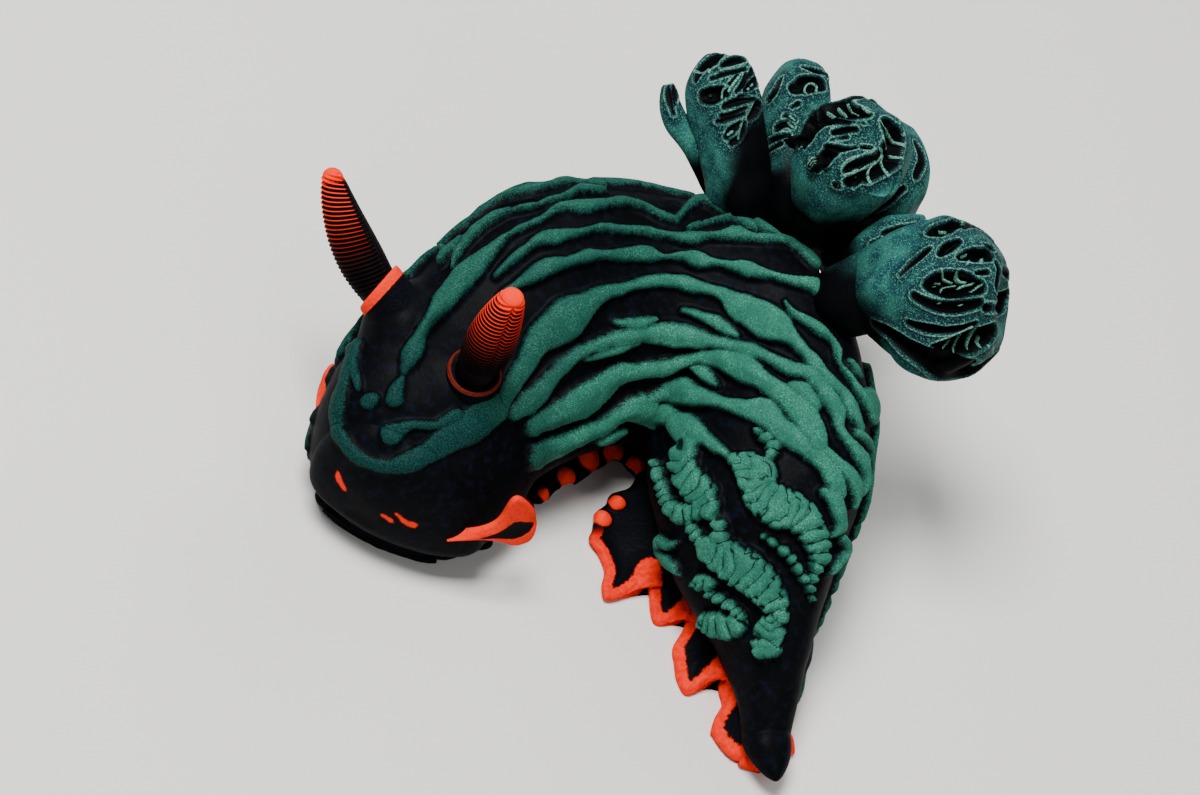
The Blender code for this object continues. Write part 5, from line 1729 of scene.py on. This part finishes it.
# The gill plumes from the head's side round to the tail's, each with its root on the skin and its branches.
# The upright one with a small stem beside it comes first, then the one behind it, the rosette that faces the
# viewer, the broad one that leans to the tail, and the one that shows only behind the rosette.
PLUMES = (
    ((4.45, 107), (
        Branch(((750, 214, -4.0, 2.6), (744, 196, -0.6, 3.0), (738, 168, 0.4, 3.0), (730, 128, 1.0, 3.1),
                (724, 92, 1.5, 3.6), (728, 46, 2.0, 3.5)),
               (((694, 80, 7), (698, 70, 12), (707, 61, 13), (718, 53, 9)),
                ((724, 63, 6), (733, 60, 10), (744, 57, 6)),
                ((710, 77, 5), (722, 73, 6), (736, 70, 6), (746, 67, 5)),
                ((702, 95, 14), (711, 94, 20), (721, 91, 14)),
                ((728, 93, 6), (732, 84, 8), (740, 75, 6)), ((738, 91, 5), (744, 82, 7), (748, 74, 5)),
                ((746, 89, 6), (753, 84, 9), (758, 80, 6)), ((741, 96, 5), (757, 92, 4)),
                ((727, 107, 7), (740, 102, 9), (757, 99, 5)), ((720, 118, 6), (735, 114, 6), (748, 109, 4)),
                ((717, 124, 5), (730, 121, 6), (746, 114, 4)), ((724, 138, 7), (734, 132, 10), (742, 125, 6)),
                ((734, 144, 7), (743, 136, 8), (746, 124, 5)), ((752, 119, 7), (760, 106, 9)),
                ((749, 77, 5), (755, 69, 5))),
               (((692, 70, 2), (699, 69, 2), (704, 65, 2)), ((707, 72, 2), (712, 64, 2)),
                ((731, 90, 2), (735, 82, 2), (744, 71, 2)), ((722, 97, 2), (725, 88, 2), (730, 84, 2)),
                ((705, 95, 2), (712, 93, 2)), ((751, 88, 2), (756, 83, 2)),
                ((741, 139, 2), (742, 131, 2), (745, 122, 2)), ((727, 137, 2), (735, 132, 2))),
               petals=5, dark_to=0.48, dark_side=0.24),
        Branch(((716, 196, -2.5, 0.8), (694, 152, 0.3, 0.8), (677, 122, 0.6, 1.1), (670, 102, 0.8, 1.2),
                (667, 80, 1.0, 1.1)),
               (((672, 113, 5), (668, 99, 8), (668, 86, 6)), ((677, 104, 4), (677, 86, 5))), petals=3),
    )),
    ((4.72, 113), (
        Branch(((798, 224, -4.0, 2.6), (796, 204, -0.6, 3.0), (792, 168, -0.8, 3.0), (792, 130, -1.6, 2.8),
                (798, 100, -2.6, 3.3), (806, 57, -3.8, 3.3)),
               (((796, 84, 17), (808, 83, 19), (821, 82, 15)), ((768, 98, 8), (774, 89, 9), (779, 78, 5)),
                ((805, 66, 5), (817, 70, 6), (827, 74, 5)), ((775, 128, 9), (785, 122, 9), (794, 126, 6)),
                ((783, 115, 5), (796, 118, 6)), ((768, 141, 6), (778, 136, 7), (790, 133, 5)),
                ((794, 106, 5), (801, 103, 6)), ((767, 151, 5), (779, 142, 6))),
               (((809, 92, 2), (810, 84, 2), (815, 80, 2), (820, 82, 2), (820, 90, 2)),
                ((786, 121, 2), (795, 126, 2)), ((790, 114, 2), (797, 119, 2))),
               petals=5, dark_to=0.42),
    )),
    ((4.9, 102), (
        Branch(((820, 236, -4.0, 2.2), (820, 222, -0.2, 2.4), (826, 203, 1.2, 3.0), (840, 174, 3.6, 4.4),
                (855, 150, 5.2, 5.5), (860, 136, 8.2, 5.5)),
               (((834, 88, 5), (850, 89, 8), (865, 94, 9), (874, 100, 5)),
                ((816, 103, 13), (830, 104, 20), (850, 108, 18), (868, 112, 9)),
                ((801, 140, 8), (806, 126, 22), (820, 119, 16), (850, 122, 5), (862, 124, 3)),
                ((834, 131, 6), (848, 130, 7), (858, 131, 5)), ((831, 138, 3), (850, 137, 4)),
                ((825, 146, 7), (842, 147, 7), (856, 145, 4)), ((815, 162, 12), (825, 157, 15), (836, 151, 8)),
                ((846, 168, 13), (857, 162, 14), (872, 155, 7)),
                ((835, 186, 7), (850, 183, 12), (864, 176, 12)),
                ((862, 145, 4), (871, 146, 5)),
                ((870, 178, 16), (884, 164, 26), (896, 152, 26), (898, 136, 22), (888, 121, 12))),
               (((824, 96, 2), (829, 104, 2), (836, 110, 2)), ((836, 97, 2), (841, 105, 2), (846, 112, 2)),
                ((846, 99, 2), (852, 106, 2), (860, 113, 2)), ((856, 99, 2), (863, 106, 2), (870, 110, 2)),
                ((881, 118, 2), (893, 128, 2), (907, 146, 2)), ((881, 134, 2), (890, 143, 2), (904, 156, 2)),
                ((879, 146, 2), (885, 160, 3), (890, 178, 3)), ((876, 158, 2), (873, 170, 3), (872, 184, 3)),
                ((879, 150, 2), (872, 162, 2), (858, 172, 2), (840, 177, 2), (832, 186, 2)),
                ((875, 155, 2), (868, 162, 2), (862, 170, 2)), ((859, 180, 2), (856, 190, 2)),
                ((870, 148, 2), (858, 154, 2), (846, 160, 2), (841, 170, 2)), ((900, 118, 2), (906, 134, 2)),
                ((850, 171, 2), (859, 166, 2))),
               dark_to=0.5, dark_side=0.04),
    )),
    ((5.45, 97), (
        Branch(((836, 303, -4.5, 2.8), (850, 299, -0.2, 3.2), (872, 293, 0.8, 3.9), (905, 293, 2.0, 5.7),
                (945, 299, 3.2, 7.3), (1013, 303, 5.0, 7.4)),
               (((928, 282, 14), (944, 282, 27), (962, 284, 26), (981, 286, 15)),
                ((912, 296, 8), (925, 304, 11), (945, 309, 13), (965, 308, 13), (982, 300, 8)),
                ((908, 325, 8), (930, 331, 12), (955, 331, 8), (977, 325, 6)),
                ((932, 347, 7), (953, 348, 18), (975, 344, 26), (993, 336, 18)),
                ((930, 229, 12), (942, 227, 17), (956, 222, 11)), ((964, 226, 5), (972, 224, 7), (980, 222, 5)),
                ((984, 228, 5), (992, 235, 6)), ((941, 252, 8), (950, 246, 12), (960, 240, 7)),
                ((961, 256, 8), (974, 254, 14), (990, 253, 12)), ((999, 286, 9), (1001, 273, 8), (998, 263, 5)),
                ((988, 309, 9), (999, 303, 15), (1008, 296, 9)), ((1004, 268, 5), (1010, 276, 6)),
                ((899, 273, 5), (910, 263, 8), (922, 252, 8), (930, 246, 4)), ((985, 243, 3), (994, 248, 5)),
                ((948, 270, 4), (956, 275, 6)), ((963, 271, 5), (974, 275, 5)), ((978, 272, 4), (990, 272, 5)),
                ((872, 324, 6), (895, 341, 15), (920, 358, 24), (950, 371, 26), (978, 370, 22),
                 (993, 359, 12))),
               (((941, 268, 2), (948, 274, 2), (957, 278, 2)), ((959, 271, 2), (965, 276, 3), (973, 279, 2)),
                ((944, 294, 2), (951, 286, 3), (962, 282, 2)), ((963, 293, 2), (968, 285, 3), (979, 280, 2)),
                ((976, 291, 2), (985, 283, 2)), ((934, 278, 2), (943, 279, 2)), ((930, 288, 2), (936, 284, 2)),
                ((939, 306, 2), (943, 302, 2)), ((962, 309, 2), (967, 303, 2)),
                ((944, 352, 2), (952, 345, 2)), ((956, 356, 2), (961, 346, 2), (967, 338, 2)),
                ((972, 354, 2), (977, 342, 3), (985, 330, 2)), ((985, 350, 2), (988, 341, 2)),
                ((930, 345, 2), (950, 338, 2), (975, 328, 2)), ((938, 224, 2), (948, 225, 2)),
                ((944, 234, 2), (951, 230, 2)), ((968, 263, 2), (974, 257, 2)), ((982, 261, 2), (989, 256, 2)),
                ((964, 254, 2), (970, 251, 2)),
                ((1001, 306, 2), (1003, 300, 2)), ((980, 379, 2), (989, 364, 2), (990, 348, 2)),
                ((988, 376, 2), (995, 362, 2), (995, 348, 2))),
               dark_to=0.42, dark_side=0.08),
        Branch(((850, 284, -2.0, 1.2), (868, 252, 0.6, 1.5), (888, 238, 1.2, 1.7), (908, 230, 1.8, 1.6),
                (932, 220, 2.2, 1.4)),
               (((870, 245, 6), (882, 241, 8), (892, 238, 4)), ((882, 233, 7), (897, 228, 9), (914, 223, 5))),
               (((880, 236, 2), (886, 237, 2)),), petals=3),
    )),
    ((5.1, 118), (
        Branch(((842, 264, -4.0, 2.0), (850, 246, -0.6, 2.6), (858, 230, -1.5, 3.0), (866, 203, -3.0, 4.2),
                (874, 178, -4.5, 4.9), (890, 118, -6.5, 4.6)),
               (((917, 142, 5), (924, 158, 9), (918, 176, 9)), ((906, 189, 6), (886, 203, 9), (862, 212, 6))),
               (((919, 146, 2), (922, 160, 2)),)),
    )),
)


def main() -> None:
    """Build the studio, the body and everything that grows from it."""
    logging.basicConfig(level=logging.INFO, format="%(message)s")
    view = PhotoView()
    view.camera()
    Studio().build()
    form = BodyForm()
    Skin(form, view).build(RidgedSkin().make())
    Foot(form, view).build(FootSkin().make())
    club, sleeve = ClubSkin().make(), CollarSkin().make()
    Rhinophore(form, Side.LEFT, root=(1.4, 67), lean=(0.03, -0.13, 0.99), collar=0.8, keel=-60, length=12.9,
               plates=24, lip_height=0.12).build(club, sleeve)
    Rhinophore(form, Side.RIGHT, root=(1.6, 118.4), lean=(-0.88, 0.12, 0.4), collar=2.4, keel=200,
               bow=(2.13, 2.14, 1.93), collar_slant=0.8).build(club, sleeve)
    flap = TentacleSkin().make()
    Tentacle(form, Side.LEFT, front=(-0.7, 14), rear=(0.84, 12.6), lift=2.8, width=2.25).build(flap)
    Tentacle(form, Side.RIGHT, front=(0.8, 176), rear=(1.4, 168), lift=0.1, width=1.3).build(flap)
    gill = GillSkin().make()
    for number, (root, branches) in enumerate(PLUMES, 1):
        Plume(form, view, number, root, branches).build(gill)


if __name__ == "__main__":
    main()
